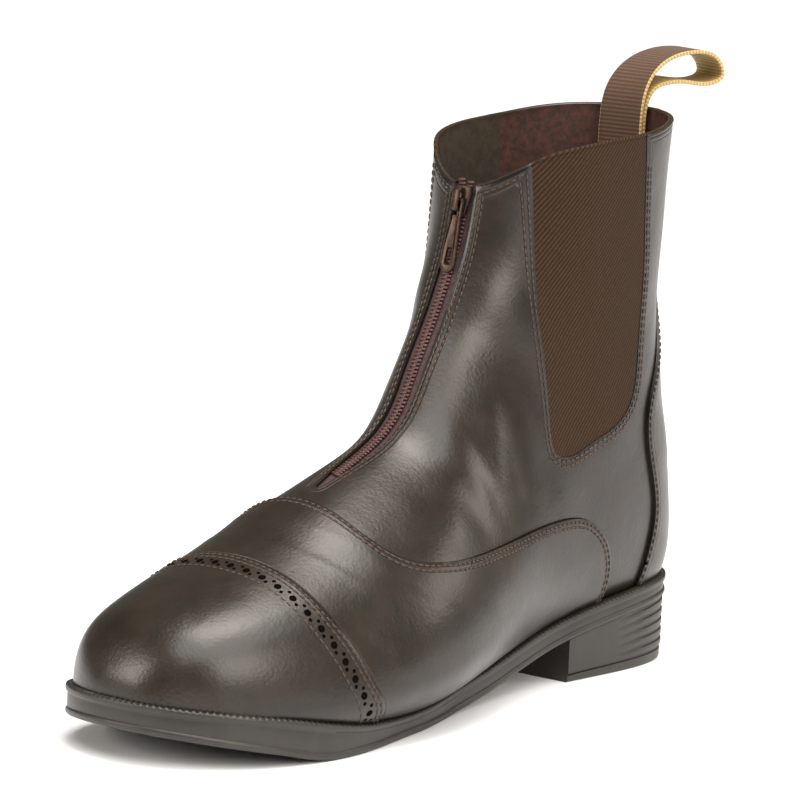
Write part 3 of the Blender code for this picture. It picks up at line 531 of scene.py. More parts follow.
def locate(x, z):
    """Which section and turn of the left side show at a place in the side view, and whether one does."""
    ats = np.linspace(0.0, AT_END, 1300)
    fx, fz = SECTION_CURVES["foot_x"](ats), SECTION_CURVES["foot_z"](ats)
    wx, wz = SECTION_CURVES["top_x"](ats) - fx, SECTION_CURVES["top_z"](ats) - fz
    cross = (x[:, None] - fx) * wz - (z[:, None] - fz) * wx
    along = ((x[:, None] - fx) * wx + (z[:, None] - fz) * wz) / np.maximum(wx * wx + wz * wz, 1e-9)
    change = (np.sign(cross[:, 1:]) != np.sign(cross[:, :-1])) & (np.abs(along[:, 1:] - 0.5) < 0.52)
    found = change.any(axis=1)
    i = change.argmax(axis=1)
    rows = np.arange(len(x))
    a, b = cross[rows, i], cross[rows, i + 1]
    share = np.where(found, a / np.where(a - b == 0, 1.0, a - b), 0.0)
    at = ats[i] + share * (ats[1] - ats[0])
    up = along[rows, i] + share * (along[rows, i + 1] - along[rows, i])
    low, high = np.zeros(len(x)), np.full(len(x), np.pi)
    foot, top = surface(at, np.full(len(x), np.pi)), surface(at, np.zeros(len(x)))
    reach = np.maximum(np.abs(top[:, 2] - foot[:, 2]), 1e-6)
    for _ in range(34):
        middle = (low + high) / 2
        share = (surface(at, middle)[:, 2] - foot[:, 2]) / reach
        higher = share > up
        low = np.where(higher, middle, low)
        high = np.where(higher, high, middle)
    return at, low, found & (up > 0.0) & (up < 1.0)


def seam_path(line, offset, sides, keep=None, pitch=2.8, both=True):
    """Evenly spaced places along a seam of the side view, run over both sides of the boot."""
    dense = smooth_line(line, 900)
    way = np.gradient(dense, axis=0)
    way = way / np.linalg.norm(way, axis=1, keepdims=True)
    dense = dense + offset * np.stack([-way[:, 1], way[:, 0]], -1)
    at, turn, found = locate(dense[:, 0], dense[:, 1])
    found = found & (turn < meets_sole(at, np.ones(len(at))) - 0.01)
    found = found & (seam("collar", at, turn) > 1.2)
    if keep is not None:
        found = found & keep(at, turn)
    paths = []
    for side in sides:
        path = np.stack([at[found], side * turn[found]], -1)
        if len(path) > 4:
            paths.append(path)
    if both and len(paths) == 2:
        first, second = paths
        flip = np.abs(first[0, 1]) < np.abs(first[-1, 1])
        paths = [np.concatenate([first[::-1] if flip else first, second if flip else second[::-1]])]
    return [even_path(path, pitch) for path in paths]


def even_path(path, pitch):
    """Resamples a path of (at, turn) at a step in millimetres."""
    points = surface(path[:, 0], path[:, 1])
    gaps = np.linalg.norm(np.diff(points, axis=0), axis=1)
    along = np.concatenate([[0.0], np.cumsum(gaps)])
    places = np.arange(pitch / 2, along[-1], pitch)
    return np.stack([np.interp(places, along, path[:, k]) for k in (0, 1)], -1)


def stitch_frames(path, lift):
    """A place and three scaled axes for each stitch along a path."""
    points = lifted(path[:, 0], path[:, 1], lift)
    normals = outward(path[:, 0], path[:, 1])
    frames = []
    for point, normal, way in zip(points, normals, np.gradient(points, axis=0)):
        if np.linalg.norm(way) > 2.2 * millimetres("stitch_length"):
            continue
        x = way / np.linalg.norm(way)
        z = normal - (normal @ x) * x
        z = z / np.linalg.norm(z)
        thread = millimetres("thread_radius")
        half = millimetres("stitch_length") / 2
        frames.append((point, (x * half, np.cross(z, x) * thread, z * thread * 0.8)))
    return frames


def repeat_shape(bm, frames):
    """Doubles a bmesh's one shape until there is one for each frame, and moves each to its own."""
    one = bpy.data.meshes.new("one_shape")
    bm.to_mesh(one)
    bm.clear()
    bm.from_mesh(one)
    bpy.data.meshes.remove(one)
    shape = np.array([vert.co for vert in bm.verts])
    made = 1
    while made < len(frames):
        bmesh.ops.duplicate(bm, geom=list(bm.verts) + list(bm.edges) + list(bm.faces))
        made *= 2
    bmesh.ops.delete(bm, geom=list(bm.verts)[len(frames) * len(shape):], context="VERTS")
    points = np.concatenate([place + shape @ np.array(axes) for place, axes in frames])
    for vert, point in zip(bm.verts, points):
        vert.co = point


def per_metre(size):
    """How often a feature of a size in millimetres repeats in a metre, for a texture's scale."""
    return 1000.0 / size


def add_node(tree, kind, settings=None, links=None):
    """Adds a shader node with its settings and the sockets that feed it."""
    node = tree.nodes.new(kind)
    for key, value in (settings or {}).items():
        if isinstance(key, int) or key in node.inputs:
            node.inputs[key].default_value = value
        else:
            setattr(node, key, value)
    for key, socket in (links or {}).items():
        tree.links.new(socket, node.inputs[key])
    return node


def linear(code):
    """An sRGB hex colour as linear red, green, blue and alpha."""
    parts = [int(code.lstrip("#")[k:k + 2], 16) / 255.0 for k in (0, 2, 4)]
    return tuple(p / 12.92 if p <= 0.04045 else ((p + 0.055) / 1.055) ** 2.4 for p in parts) + (1.0,)


def start_material(name):
    """An empty material with its shader and its object coordinates."""
    material = bpy.data.materials.new(name)
    material.use_nodes = True
    tree = material.node_tree
    return material, tree, tree.nodes["Principled BSDF"], add_node(tree, "ShaderNodeTexCoord").outputs["Object"]


def colour_blend(tree, factor, first, second):
    """Mixes two hex colours by a factor."""
    ramp = add_node(tree, "ShaderNodeValToRGB", links={"Fac": factor})
    ramp.color_ramp.elements[0].color = linear(first)
    ramp.color_ramp.elements[1].color = linear(second)
    return ramp


def scalar_range(tree, socket, low, high):
    """Spreads a 0 to 1 value over a range."""
    return add_node(tree, "ShaderNodeMapRange", {"To Min": low, "To Max": high}, {"Value": socket}).outputs[0]


def grey_steps(tree, factor, steps):
    """A ramp through grey values at the given places."""
    ramp = add_node(tree, "ShaderNodeValToRGB", links={"Fac": factor})
    stops = ramp.color_ramp.elements
    while len(stops) < len(steps):
        stops.new(0.5)
    for k, (place, value) in enumerate(steps):
        stops[k].position = place
        stops[k].color = (value, value, value, 1.0)
    return ramp.outputs["Color"]


def smooth_leather(name, dark, light, roughness=0.33, grain=0.55, panel=False):
    """Corrected-grain cowhide, dyed through and waxed: satin, with fine pores and a faint mottle."""
    material, tree, shader, place = start_material(name)
    # dye pools in patches of some 17 mm; pores and wrinkles are drawn coarser than the grain, so that they show
    mottle = add_node(tree, "ShaderNodeTexNoise", {"Scale": per_metre(16.667), "Detail": 5.0, "Roughness": 0.6},
                      {"Vector": place})
    colour = colour_blend(tree, scalar_range(tree, mottle.outputs["Fac"], 0.0, 1.0), dark, light)
    colour.color_ramp.elements[0].position = 0.3
    colour.color_ramp.elements[1].position = 0.72
    pores = add_node(tree, "ShaderNodeTexVoronoi", {"Scale": per_metre(2.2 * grain)}, {"Vector": place})
    wrinkle = add_node(tree, "ShaderNodeTexNoise", {"Scale": per_metre(3.4 * grain), "Detail": 4.0},
                       {"Vector": place})
    swell = add_node(tree, "ShaderNodeTexNoise", {"Scale": per_metre(11.111), "Detail": 3.0}, {"Vector": place})
    mixed = add_node(tree, "ShaderNodeMath", {"operation": "ADD"},
                     {0: wrinkle.outputs["Fac"], 1: pores.outputs["Distance"]}).outputs[0]
    fine = add_node(tree, "ShaderNodeBump", {"Strength": 0.22, "Distance": 0.00018}, {"Height": mixed})
    broad = add_node(tree, "ShaderNodeBump", {"Strength": 0.35, "Distance": 0.0007},
                     {"Height": swell.outputs["Fac"], "Normal": fine.outputs["Normal"]})
    rough = scalar_range(tree, swell.outputs["Fac"], roughness - 0.06, roughness + 0.1)
    tone, relief_out = colour.outputs["Color"], broad.outputs["Normal"]
    if panel:
        # the panel's own distance from its edge: a dark rim within 1 mm of the edge, painted shade for the
        # shadow line along the panel's step, then a lighter stitched margin 1 to 3.5 mm in
        edge = add_node(tree, "ShaderNodeAttribute", {"attribute_name": "inside"}).outputs["Fac"]
        share = add_node(tree, "ShaderNodeMapRange", {"From Max": 5.0}, {"Value": edge}).outputs[0]
        margin = grey_steps(tree, share, ((0.0, 0.25), (0.12, 0.45), (0.2, 1.0), (0.66, 1.0), (0.8, 0.72)))
        tone = add_node(tree, "ShaderNodeMix", {"data_type": "RGBA", "blend_type": "MULTIPLY", 0: 1.0},
                        {6: tone, 7: margin}).outputs[2]
        furrow = grey_steps(tree, share, ((0.18, 1.0), (0.26, 0.0), (0.34, 1.0),
                                          (0.52, 1.0), (0.6, 0.0), (0.68, 1.0)))
        relief_out = add_node(tree, "ShaderNodeBump", {"Strength": 0.8, "Distance": 0.0005},
                              {"Height": furrow, "Normal": relief_out}).outputs["Normal"]
    tree.links.new(tone, shader.inputs["Base Color"])
    tree.links.new(rough, shader.inputs["Roughness"])
    tree.links.new(relief_out, shader.inputs["Normal"])
    shader.inputs["Coat Weight"].default_value = 0.15
    shader.inputs["Coat Roughness"].default_value = 0.25
    shader.inputs["IOR"].default_value = 1.48
    return material


def twill_elastic(name, dark, light, pitch=1.35):
    """Woven elastic with a diagonal twill: matt, with fine raised cords that fray into fuzz."""
    material, tree, shader, place = start_material(name)
    # the twill's cords lean 37 degrees off upright
    turned = add_node(tree, "ShaderNodeMapping", {"Rotation": (0.0, math.radians(37.0), 0.0)},
                      {"Vector": place})
    cords = add_node(tree, "ShaderNodeTexWave",
                     {"wave_type": "BANDS", "bands_direction": "X", "Scale": per_metre(WAVE * pitch),
                      "Distortion": 0.5, "Detail": 2.0, "Detail Scale": 2.0},
                     {"Vector": turned.outputs["Vector"]})
    fuzz = add_node(tree, "ShaderNodeTexNoise", {"Scale": per_metre(0.7143), "Detail": 3.0}, {"Vector": place})
    both = add_node(tree, "ShaderNodeMath", {"operation": "MULTIPLY"},
                    {0: cords.outputs["Fac"], 1: fuzz.outputs["Fac"]}).outputs[0]
    colour = colour_blend(tree, both, dark, light)
    colour.color_ramp.elements[1].position = 0.6
    bump = add_node(tree, "ShaderNodeBump", {"Strength": 0.6, "Distance": 0.0004}, {"Height": both})
    tree.links.new(colour.outputs["Color"], shader.inputs["Base Color"])
    tree.links.new(bump.outputs["Normal"], shader.inputs["Normal"])
    shader.inputs["Roughness"].default_value = 0.85
    shader.inputs["Specular IOR Level"].default_value = 0.25
    return material


def ribbed_webbing(name, dark, light, pitch=1.5):
    """Woven webbing with ribs across its length, on the strap's own UV in millimetres."""
    material, tree, shader, place = start_material(name)
    along = add_node(tree, "ShaderNodeUVMap", {"uv_map": "strap"}).outputs["UV"]
    ribs = add_node(tree, "ShaderNodeTexWave", {"wave_type": "BANDS", "bands_direction": "X",
                                               "Scale": 1.0 / (WAVE * pitch), "Distortion": 0.3},
                    {"Vector": along})
    fuzz = add_node(tree, "ShaderNodeTexNoise", {"Scale": per_metre(0.6667), "Detail": 3.0}, {"Vector": place})
    both = add_node(tree, "ShaderNodeMath", {"operation": "MULTIPLY_ADD", 2: 0.1},
                    {0: ribs.outputs["Fac"], 1: fuzz.outputs["Fac"]}).outputs[0]
    colour = colour_blend(tree, both, dark, light)
    colour.color_ramp.elements[1].position = 0.7
    bump = add_node(tree, "ShaderNodeBump", {"Strength": 0.5, "Distance": 0.0003}, {"Height": both})
    tree.links.new(colour.outputs["Color"], shader.inputs["Base Color"])
    tree.links.new(bump.outputs["Normal"], shader.inputs["Normal"])
    shader.inputs["Roughness"].default_value = 0.75
    shader.inputs["Sheen Weight"].default_value = 0.1
    return material


def moulded_rubber(name, dark, light):
    """Moulded rubber: dark grey brown, dull, with a faint bloom and fine mould texture."""
    material, tree, shader, place = start_material(name)
    bloom = add_node(tree, "ShaderNodeTexNoise", {"Scale": per_metre(22.222), "Detail": 6.0, "Roughness": 0.65},
                     {"Vector": place})
    grit = add_node(tree, "ShaderNodeTexNoise", {"Scale": per_metre(1.1111), "Detail": 3.0}, {"Vector": place})
    colour = colour_blend(tree, bloom.outputs["Fac"], dark, light)
    colour.color_ramp.elements[0].position = 0.3
    colour.color_ramp.elements[1].position = 0.75
    rough = scalar_range(tree, bloom.outputs["Fac"], 0.36, 0.5)
    bump = add_node(tree, "ShaderNodeBump", {"Strength": 0.25, "Distance": 0.0002},
                    {"Height": grit.outputs["Fac"]})
    tree.links.new(colour.outputs["Color"], shader.inputs["Base Color"])
    tree.links.new(rough, shader.inputs["Roughness"])
    tree.links.new(bump.outputs["Normal"], shader.inputs["Normal"])
    return material


def brushed_lining(name, dark, light, nap=0.9, strength=0.5):
    """Brushed lining cloth or leather: matt, with a short nap in two tones."""
    material, tree, shader, place = start_material(name)
    short = add_node(tree, "ShaderNodeTexNoise",
                     {"Scale": per_metre(3.0 * nap), "Detail": 5.0, "Roughness": 0.7}, {"Vector": place})
    colour = colour_blend(tree, short.outputs["Fac"], dark, light)
    colour.color_ramp.elements[0].position = 0.35
    colour.color_ramp.elements[1].position = 0.7
    bump = add_node(tree, "ShaderNodeBump", {"Strength": strength, "Distance": 0.0004},
                    {"Height": short.outputs["Fac"]})
    tree.links.new(colour.outputs["Color"], shader.inputs["Base Color"])
    tree.links.new(bump.outputs["Normal"], shader.inputs["Normal"])
    shader.inputs["Roughness"].default_value = 0.8
    return material


def waxed_thread(name, dark, light):
    """Bonded polyester thread: slightly glossy, a shade off the leather."""
    material, tree, shader, place = start_material(name)
    twist = add_node(tree, "ShaderNodeTexNoise", {"Scale": per_metre(0.3846), "Detail": 2.0}, {"Vector": place})
    colour = colour_blend(tree, twist.outputs["Fac"], dark, light)
    tree.links.new(colour.outputs["Color"], shader.inputs["Base Color"])
    shader.inputs["Roughness"].default_value = 0.5
    return material


def plated_metal(name, dark, light):
    """Die-cast zinc with a dark bronze plating, worn lighter in patches."""
    material, tree, shader, place = start_material(name)
    wear = add_node(tree, "ShaderNodeTexNoise", {"Scale": per_metre(2.0), "Detail": 4.0}, {"Vector": place})
    colour = colour_blend(tree, wear.outputs["Fac"], dark, light)
    rough = scalar_range(tree, wear.outputs["Fac"], 0.28, 0.45)
    tree.links.new(colour.outputs["Color"], shader.inputs["Base Color"])
    tree.links.new(rough, shader.inputs["Roughness"])
    shader.inputs["Metallic"].default_value = 0.9
    return material


def moulded_coil(name, dark, light):
    """Nylon zip coil: dyed plastic with a soft gloss."""
    material, tree, shader, place = start_material(name)
    dye = add_node(tree, "ShaderNodeTexNoise", {"Scale": per_metre(1.4286), "Detail": 2.0}, {"Vector": place})
    colour = colour_blend(tree, dye.outputs["Fac"], dark, light)
    tree.links.new(colour.outputs["Color"], shader.inputs["Base Color"])
    shader.inputs["Roughness"].default_value = 0.4
    return material


def length(name, description, size):
    """A length that a user can change, given in millimetres."""
    return FloatProperty(name=name, description=description, default=size * MM, min=0.0, precision=5,
                         subtype="DISTANCE")


def hex_colour(name, description, code):
    """A colour that a user can change, as an sRGB hex code."""
    return StringProperty(name=name, description=description, default=code, maxlen=7)


class BootSizes(PropertyGroup):
    """Sizes of the boot's panels, threads and sole"""

    cap_thick: length("Toe cap", "Thickness of the toe cap", 1.6)
    vamp_thick: length("Vamp", "Thickness of the vamp", 1.2)
    stay_thick: length("Backstay", "Thickness of the backstay", 1.2)
    wall: length("Wall", "Leather and lining together", 2.0)
    stitch_length: length("Stitch", "Length of a stitch", 2.1)
    stitch_pitch: length("Stitch pitch", "Step from stitch to stitch", 2.7)
    thread_radius: length("Thread", "Radius of the thread", 0.42)
    welt_toe: length("Welt at toe", "How far the sole stands out ahead", 5.0)
    welt_heel: length("Welt at heel", "How far the sole stands out behind", 4.2)
    welt_back: length("Welt at back", "How far the sole stands out at the back", 5.4)
    tooth_pitch: length("Tooth pitch", "Step from tooth to tooth of the zip", 1.5)
    heel_ribs: IntProperty(name="Heel ribs", description="Stack ribs round the heel's back", default=5, min=1)


class BootColours(PropertyGroup):
    """Colours of the boot"""

    leather_dark: hex_colour("Leather dark", "Darker tone of the leather", "#130c06")
    leather_light: hex_colour("Leather light", "Lighter tone of the leather", "#291d12")
    elastic_dark: hex_colour("Elastic dark", "Furrows of the elastic", "#1a1006")
    elastic_light: hex_colour("Elastic light", "Cords of the elastic", "#412b16")
    webbing: hex_colour("Webbing", "Outside of the pull loop", "#5c3e29")
    gold: hex_colour("Loop inside", "Inside of the pull loop", "#b59a55")
    cream: hex_colour("Loop edge", "Edge of the pull loop", "#cfae74")
    rubber_dark: hex_colour("Rubber dark", "Darker tone of the sole", "#1b1815")
    rubber_light: hex_colour("Rubber light", "Lighter tone of the sole", "#302c27")
    lining: hex_colour("Lining", "Lining of the back", "#4c281c")
    lining_front: hex_colour("Front lining", "Lining of the front", "#3a2d1e")
    thread: hex_colour("Thread", "Thread of the seams", "#1c130d")
    coil: hex_colour("Zip", "Teeth of the zip", "#24100f")


def millimetres(name):
    """One of the boot's sizes, in millimetres."""
    return getattr(bpy.context.scene.boot_sizes, name) / MM


def colours():
    return bpy.context.scene.boot_colours


def shared_material(name, make, *values, **extra):
    """Makes a material once and gives it back after that."""
    return bpy.data.materials.get(name) or make(name, *values, **extra)


def boot_leather():
    return shared_material("waxed_brown_leather", smooth_leather, colours().leather_dark,
                           colours().leather_light)


def panel_leather():
    return shared_material("waxed_brown_panel_leather", smooth_leather, colours().leather_dark,
                           colours().leather_light, panel=True)


def gore_elastic():
    return shared_material("twill_elastic", twill_elastic, colours().elastic_dark, colours().elastic_light)


def boot_thread():
    return shared_material("bonded_thread", waxed_thread, colours().thread, "#4a382b")


def boot_rubber():
    return shared_material("moulded_sole_rubber", moulded_rubber, colours().rubber_dark, colours().rubber_light)


def boot_metal():
    return shared_material("bronze_plated_zinc", plated_metal, "#221a16", "#5c4b42")


def cap_lift():
    return LAYER_GAP + millimetres("cap_thick")


def vamp_lift():
    return LAYER_GAP + millimetres("vamp_thick")


def stay_lift():
    return LAYER_GAP + millimetres("stay_thick")


def quarter_region(at, turn):
    """The quarters: all but gores, zip, vamp and backstay, tucked a little under those two."""
    value = np.minimum(seam("collar", at, turn) - 0.5, slot_distance(at, turn))
    value = np.minimum(value, -seam("gore", at, turn))
    value = np.minimum(value, 3.0 - seam("vamp", at, turn))
    return np.minimum(value, 3.0 - seam("stay", at, turn))


class BOOT_OT_quarters(Operator):
    """Adds the two quarters, cut round the gores and the zip"""

    bl_idname = "boot.quarters"
    bl_label = "Quarters"

    def execute(self, context):
        bm = leather_panel(quarter_region, 0.0, 1.3, (8.0, 26.0))
        piece = finish_mesh("quarters", bm, [panel_leather()])
        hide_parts("upper")
        return {"FINISHED"}


class BOOT_OT_vamp(Operator):
    """Adds the vamp, which laps over the quarters and runs under the toe cap"""

    bl_idname = "boot.vamp"
    bl_label = "Vamp"

    def execute(self, context):
        def region(at, turn):
            return np.minimum(seam("vamp", at, turn), 2.5 - seam("cap", at, turn))

        bm = leather_panel(region, vamp_lift(), 1.3, (4.5, 17.0))
        piece = finish_mesh("vamp_leather", bm, [panel_leather()])
        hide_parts("vamp")
        return {"FINISHED"}


class BOOT_OT_toe_cap(Operator):
    """Adds the toe cap with its punched band"""

    bl_idname = "boot.toe_cap"
    bl_label = "Toe cap"

    def execute(self, context):
        bm = leather_panel(lambda at, turn: seam("cap", at, turn), cap_lift(), 1.5, (0.0, 10.5), spacing=1.1)
        piece = finish_mesh("toe_cap_leather", bm, [panel_leather()])
        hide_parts("toe_cap")
        self.punch_holes()
        return {"FINISHED"}

    def punch_holes(self):
        """One large hole, then two small ones side by side, along the middle of the band."""
        bm = bmesh.new()
        rows = ((6.0, 0.0, 1.35), (4.9, 0.5, 0.7), (7.1, 0.5, 0.7))
        for offset, start, radius in rows:
            path = seam_path(CAP_EDGE, offset, (1.0, -1.0), pitch=3.4)[0]
            path = path[::2] if start == 0.0 else path[1::2]
            points = lifted(path[:, 0], path[:, 1], cap_lift() + 0.03)
            for point, normal in zip(points, outward(path[:, 0], path[:, 1])):
                turn = Vector(normal).to_track_quat("Z", "Y").to_matrix().to_4x4()
                made = bmesh.ops.create_circle(bm, cap_ends=True, segments=16, radius=radius,
                                               matrix=Matrix.Translation(point) @ turn)
                faces = list({face for vert in made["verts"] for face in vert.link_faces})
                bmesh.ops.inset_region(bm, faces=faces, thickness=0.16, depth=0.0)
        # each hole's centre is a flat disc in a near-black material without reflection: painted shade for the
        # hole's depth
        for face in bm.faces:
            face.material_index = 0 if len(face.verts) > 4 else 1
        dark = shared_material("punched_hole_shadow", brushed_lining, "#080605", "#120d0b", nap=0.5)
        dark.node_tree.nodes["Principled BSDF"].inputs["Specular IOR Level"].default_value = 0.0
        piece = finish_mesh("toe_cap_holes", bm, [dark, boot_leather()])


class BOOT_OT_backstay(Operator):
    """Adds the backstay and the spur rest on it"""

    bl_idname = "boot.backstay"
    bl_label = "Backstay"

    def execute(self, context):
        def region(at, turn):
            return np.minimum(seam("stay", at, turn), seam("collar", at, turn) - 0.5)

        bm = leather_panel(region, stay_lift(), 1.3, (14.5, 26.0))
        piece = finish_mesh("backstay_leather", bm, [panel_leather()])
        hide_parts("backstay")
        self.spur_rest()
        return {"FINISHED"}

    def spur_rest(self):
        """A short raised bar across the back of the heel."""
        bm = bmesh.new()
        bmesh.ops.create_grid(bm, x_segments=40, y_segments=14, size=1.0)
        for vert in bm.verts:
            along, across = vert.co.x, vert.co.y
            round_end = max(0.0, 1.0 - abs(along) ** 6) ** 0.5
            swell = max(0.0, 1.0 - abs(across) ** 3) ** 0.6 * round_end
            side = 1.0 if along >= 0 else -1.0
            turn = side * (np.pi - 0.28 * abs(along))
            vert.co = lifted(20.2 + 0.14 * across, turn, stay_lift() + 0.1 + 2.5 * swell)
        bmesh.ops.recalc_face_normals(bm, faces=bm.faces)
        if sum(face.normal.x for face in bm.faces) > 0:
            bmesh.ops.reverse_faces(bm, faces=bm.faces)
        piece = finish_mesh("spur_rest_leather", bm, [boot_leather()])
        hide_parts("spur_rest")


class BOOT_OT_gores(Operator):
    """Adds the two elastic gores"""

    bl_idname = "boot.gores"
    bl_label = "Gores"

    def execute(self, context):
        for name, side in (("gore_left", 1.0), ("gore_right", -1.0)):
            def region(at, turn):
                return np.minimum(seam("gore", at, turn) + 2.5, seam("collar", at, turn) - 0.5)

            bm = leather_panel(region, -0.55, 1.0, (13.0, 26.0), (side,))
            piece = finish_mesh(name + "_elastic", bm, [gore_elastic()])
            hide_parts(name)
        return {"FINISHED"}


class BOOT_OT_lining(Operator):
    """Adds the lining, in two tones, the insole and the collar's edge"""

    bl_idname = "boot.lining"
    bl_label = "Lining"

    def execute(self, context):
        front = shared_material("smooth_front_lining", brushed_lining, "#221a11", colours().lining_front,
                                nap=1.2, strength=0.2)
        back = shared_material("brushed_back_lining", brushed_lining, "#23110b", colours().lining)
        depth = -millimetres("wall") - 0.1

        def region(at, turn):
            return np.minimum(seam("collar", at, turn) - 0.5, slot_distance(at, turn) - 2.0)

        bm = leather_panel(region, depth, 0.0, (0.0, 26.0), spacing=1.8, flip=True)
        for face in bm.faces:
            face.material_index = 0 if face.calc_center_median().x > 6.0 else 1
        piece = finish_mesh("lining_cloth", bm, [front, back])
        self.collar_edge()
        self.insole(back)
        return {"FINISHED"}

    def collar_edge(self):
        """The folded top edge: leather on the quarters, elastic at the gores."""
        bm = bmesh.new()
        around, across = 460, 10
        bmesh.ops.create_grid(bm, x_segments=around, y_segments=across, size=1.0)
        place = np.array([vert.co[:2] for vert in bm.verts])
        turn = place[:, 0] * np.pi
        low, high = np.full(len(turn), 19.0), np.full(len(turn), AT_END)
        for _ in range(26):
            middle = (low + high) / 2
            inside = seam("collar", middle, turn) > 0.0
            low = np.where(inside, middle, low)
            high = np.where(inside, high, middle)
        keep = slot_distance(low, turn) > 0.0
        stay = np.clip(seam("stay", low, turn) / 1.2 + 0.5, 0.0, 1.0) * stay_lift()
        gore = np.clip(seam("gore", low, turn) / 1.2 + 0.5, 0.0, 1.0)
        angle = place[:, 1] * np.pi / 2
        outer, inner = 0.15 + stay - 0.55 * gore, -millimetres("wall") - 0.2
        lift = (outer + inner) / 2 - (outer - inner) / 2 * np.sin(angle)
        rise = 1.0 * np.cos(angle) - 0.9
        up = surface(low + 0.02, turn) - surface(low - 0.02, turn)
        up = up / np.linalg.norm(up, axis=-1, keepdims=True)
        points = lifted(low, turn, lift) + up * rise[:, None]
        layer_values(bm, "keep", keep.astype(float))
        layer_values(bm, "gore", gore)
        for vert, point in zip(bm.verts, points):
            vert.co = point
        key, tone = bm.verts.layers.float["keep"], bm.verts.layers.float["gore"]
        lost = [face for face in bm.faces if min(vert[key] for vert in face.verts) < 0.5]
        bmesh.ops.delete(bm, geom=lost, context="FACES")
        for face in bm.faces:
            face.material_index = 1 if sum(vert[tone] for vert in face.verts) > 2.0 else 0
        bmesh.ops.remove_doubles(bm, verts=bm.verts, dist=0.01)
        bmesh.ops.recalc_face_normals(bm, faces=bm.faces)
        if sum(face.normal.z for face in bm.faces) < 0:
            bmesh.ops.reverse_faces(bm, faces=bm.faces)
        piece = finish_mesh("collar_edge", bm, [boot_leather(), gore_elastic()])

    def insole(self, material):
        """A slab that follows the sole's top inside the upper."""
        left, right = sole_outline(120, -7.0)
        bm = bmesh.new()
        bmesh.ops.create_grid(bm, x_segments=12, y_segments=len(left), size=1.0)
        bm.verts.ensure_lookup_table()
        place = np.array([vert.co[:2] for vert in bm.verts])
        rows = np.rint((place[:, 1] + 1.0) / 2.0 * (len(left) - 1)).astype(int)
        share = (place[:, :1] + 1.0) / 2.0
        plan = left[rows] * (1.0 - share) + right[rows] * share
        height = feather_height(plan[:, 0]) + 3.3
        for vert, (x, y), z in zip(bm.verts, plan, height):
            vert.co = (x, y, z)
        bmesh.ops.remove_doubles(bm, verts=bm.verts, dist=0.01)
        bmesh.ops.recalc_face_normals(bm, faces=bm.faces)
        if sum(face.normal.z for face in bm.faces) < 0:
            bmesh.ops.reverse_faces(bm, faces=bm.faces)
        edges = [edge for edge in bm.edges if edge.is_boundary]
        made = bmesh.ops.extrude_edge_only(bm, edges=edges)
        rim = [item for item in made["geom"] if isinstance(item, bmesh.types.BMVert)]
        bmesh.ops.translate(bm, vec=(0.0, 0.0, -2.9), verts=rim)
        piece = finish_mesh("insole_board", bm, [material])
        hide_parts("insole")


class BOOT_OT_stitching(Operator):
    """Adds all thread rows"""

    bl_idname = "boot.stitching"
    bl_label = "Stitching"

    def execute(self, context):
        both = (1.0, -1.0)
        rows = []
        for offset in (*DOUBLE_ROW, BAND_ROW):
            rows.append((CAP_EDGE, offset, cap_lift(), True, None))
        for offset in DOUBLE_ROW:
            rows.append((VAMP_TOP, offset, vamp_lift(), True, lambda at, turn: seam("cap", at, turn) < -0.5))
        for offset in DOUBLE_ROW:
            rows.append((GORE, -offset, 0.0, False, lambda at, turn: seam("gore", at, turn) < 0.0))
        rows.append((STAY_EDGE, DOUBLE_ROW[0], stay_lift(), False, None))
        frames = []
        for line, offset, lift, joined, keep in rows:
            for path in seam_path(line, offset, both, keep, millimetres("stitch_pitch"), joined):
                frames += stitch_frames(path, lift + 0.06)
        frames += self.zip_rows() + self.collar_rows()
        bm = bmesh.new()
        bmesh.ops.create_uvsphere(bm, u_segments=6, v_segments=4, radius=1.0,
                                  matrix=Matrix.Rotation(math.pi / 2, 4, "Y"))
        repeat_shape(bm, frames)
        piece = finish_mesh("thread_rows", bm, [boot_thread()])
        return {"FINISHED"}

    def zip_rows(self):
        """Two rows down each side of the zip."""
        frames = []
        ats = np.linspace(ZIP_START + 0.3, 24.0, 900)
        for distance in DOUBLE_ROW:
            for side in (1.0, -1.0):
                half = slot_half(ats) + distance
                reach = SECTION_CURVES["left" if side > 0 else "right"](ats)
                turn = side * np.arcsin(half / reach)
                keep = seam("collar", ats, turn) > 2.5
                path = even_path(np.stack([ats[keep], turn[keep]], -1), millimetres("stitch_pitch"))
                frames += stitch_frames(path, 0.06)
        return frames

    def collar_rows(self):
        """One row below the collar's edge, on leather only."""
        line = [(x, z - 3.2) for x, z in COLLAR]

        def keep(at, turn):
            clear = (seam("gore", at, turn) < -3.0) & (slot_distance(at, turn) > 3.0)
            return clear & (seam("stay", at, turn) < -1.0)

        paths = seam_path(line, 0.0, (1.0, -1.0), keep, millimetres("stitch_pitch"), False)
        return [frame for path in paths for frame in stitch_frames(path, 0.06)]


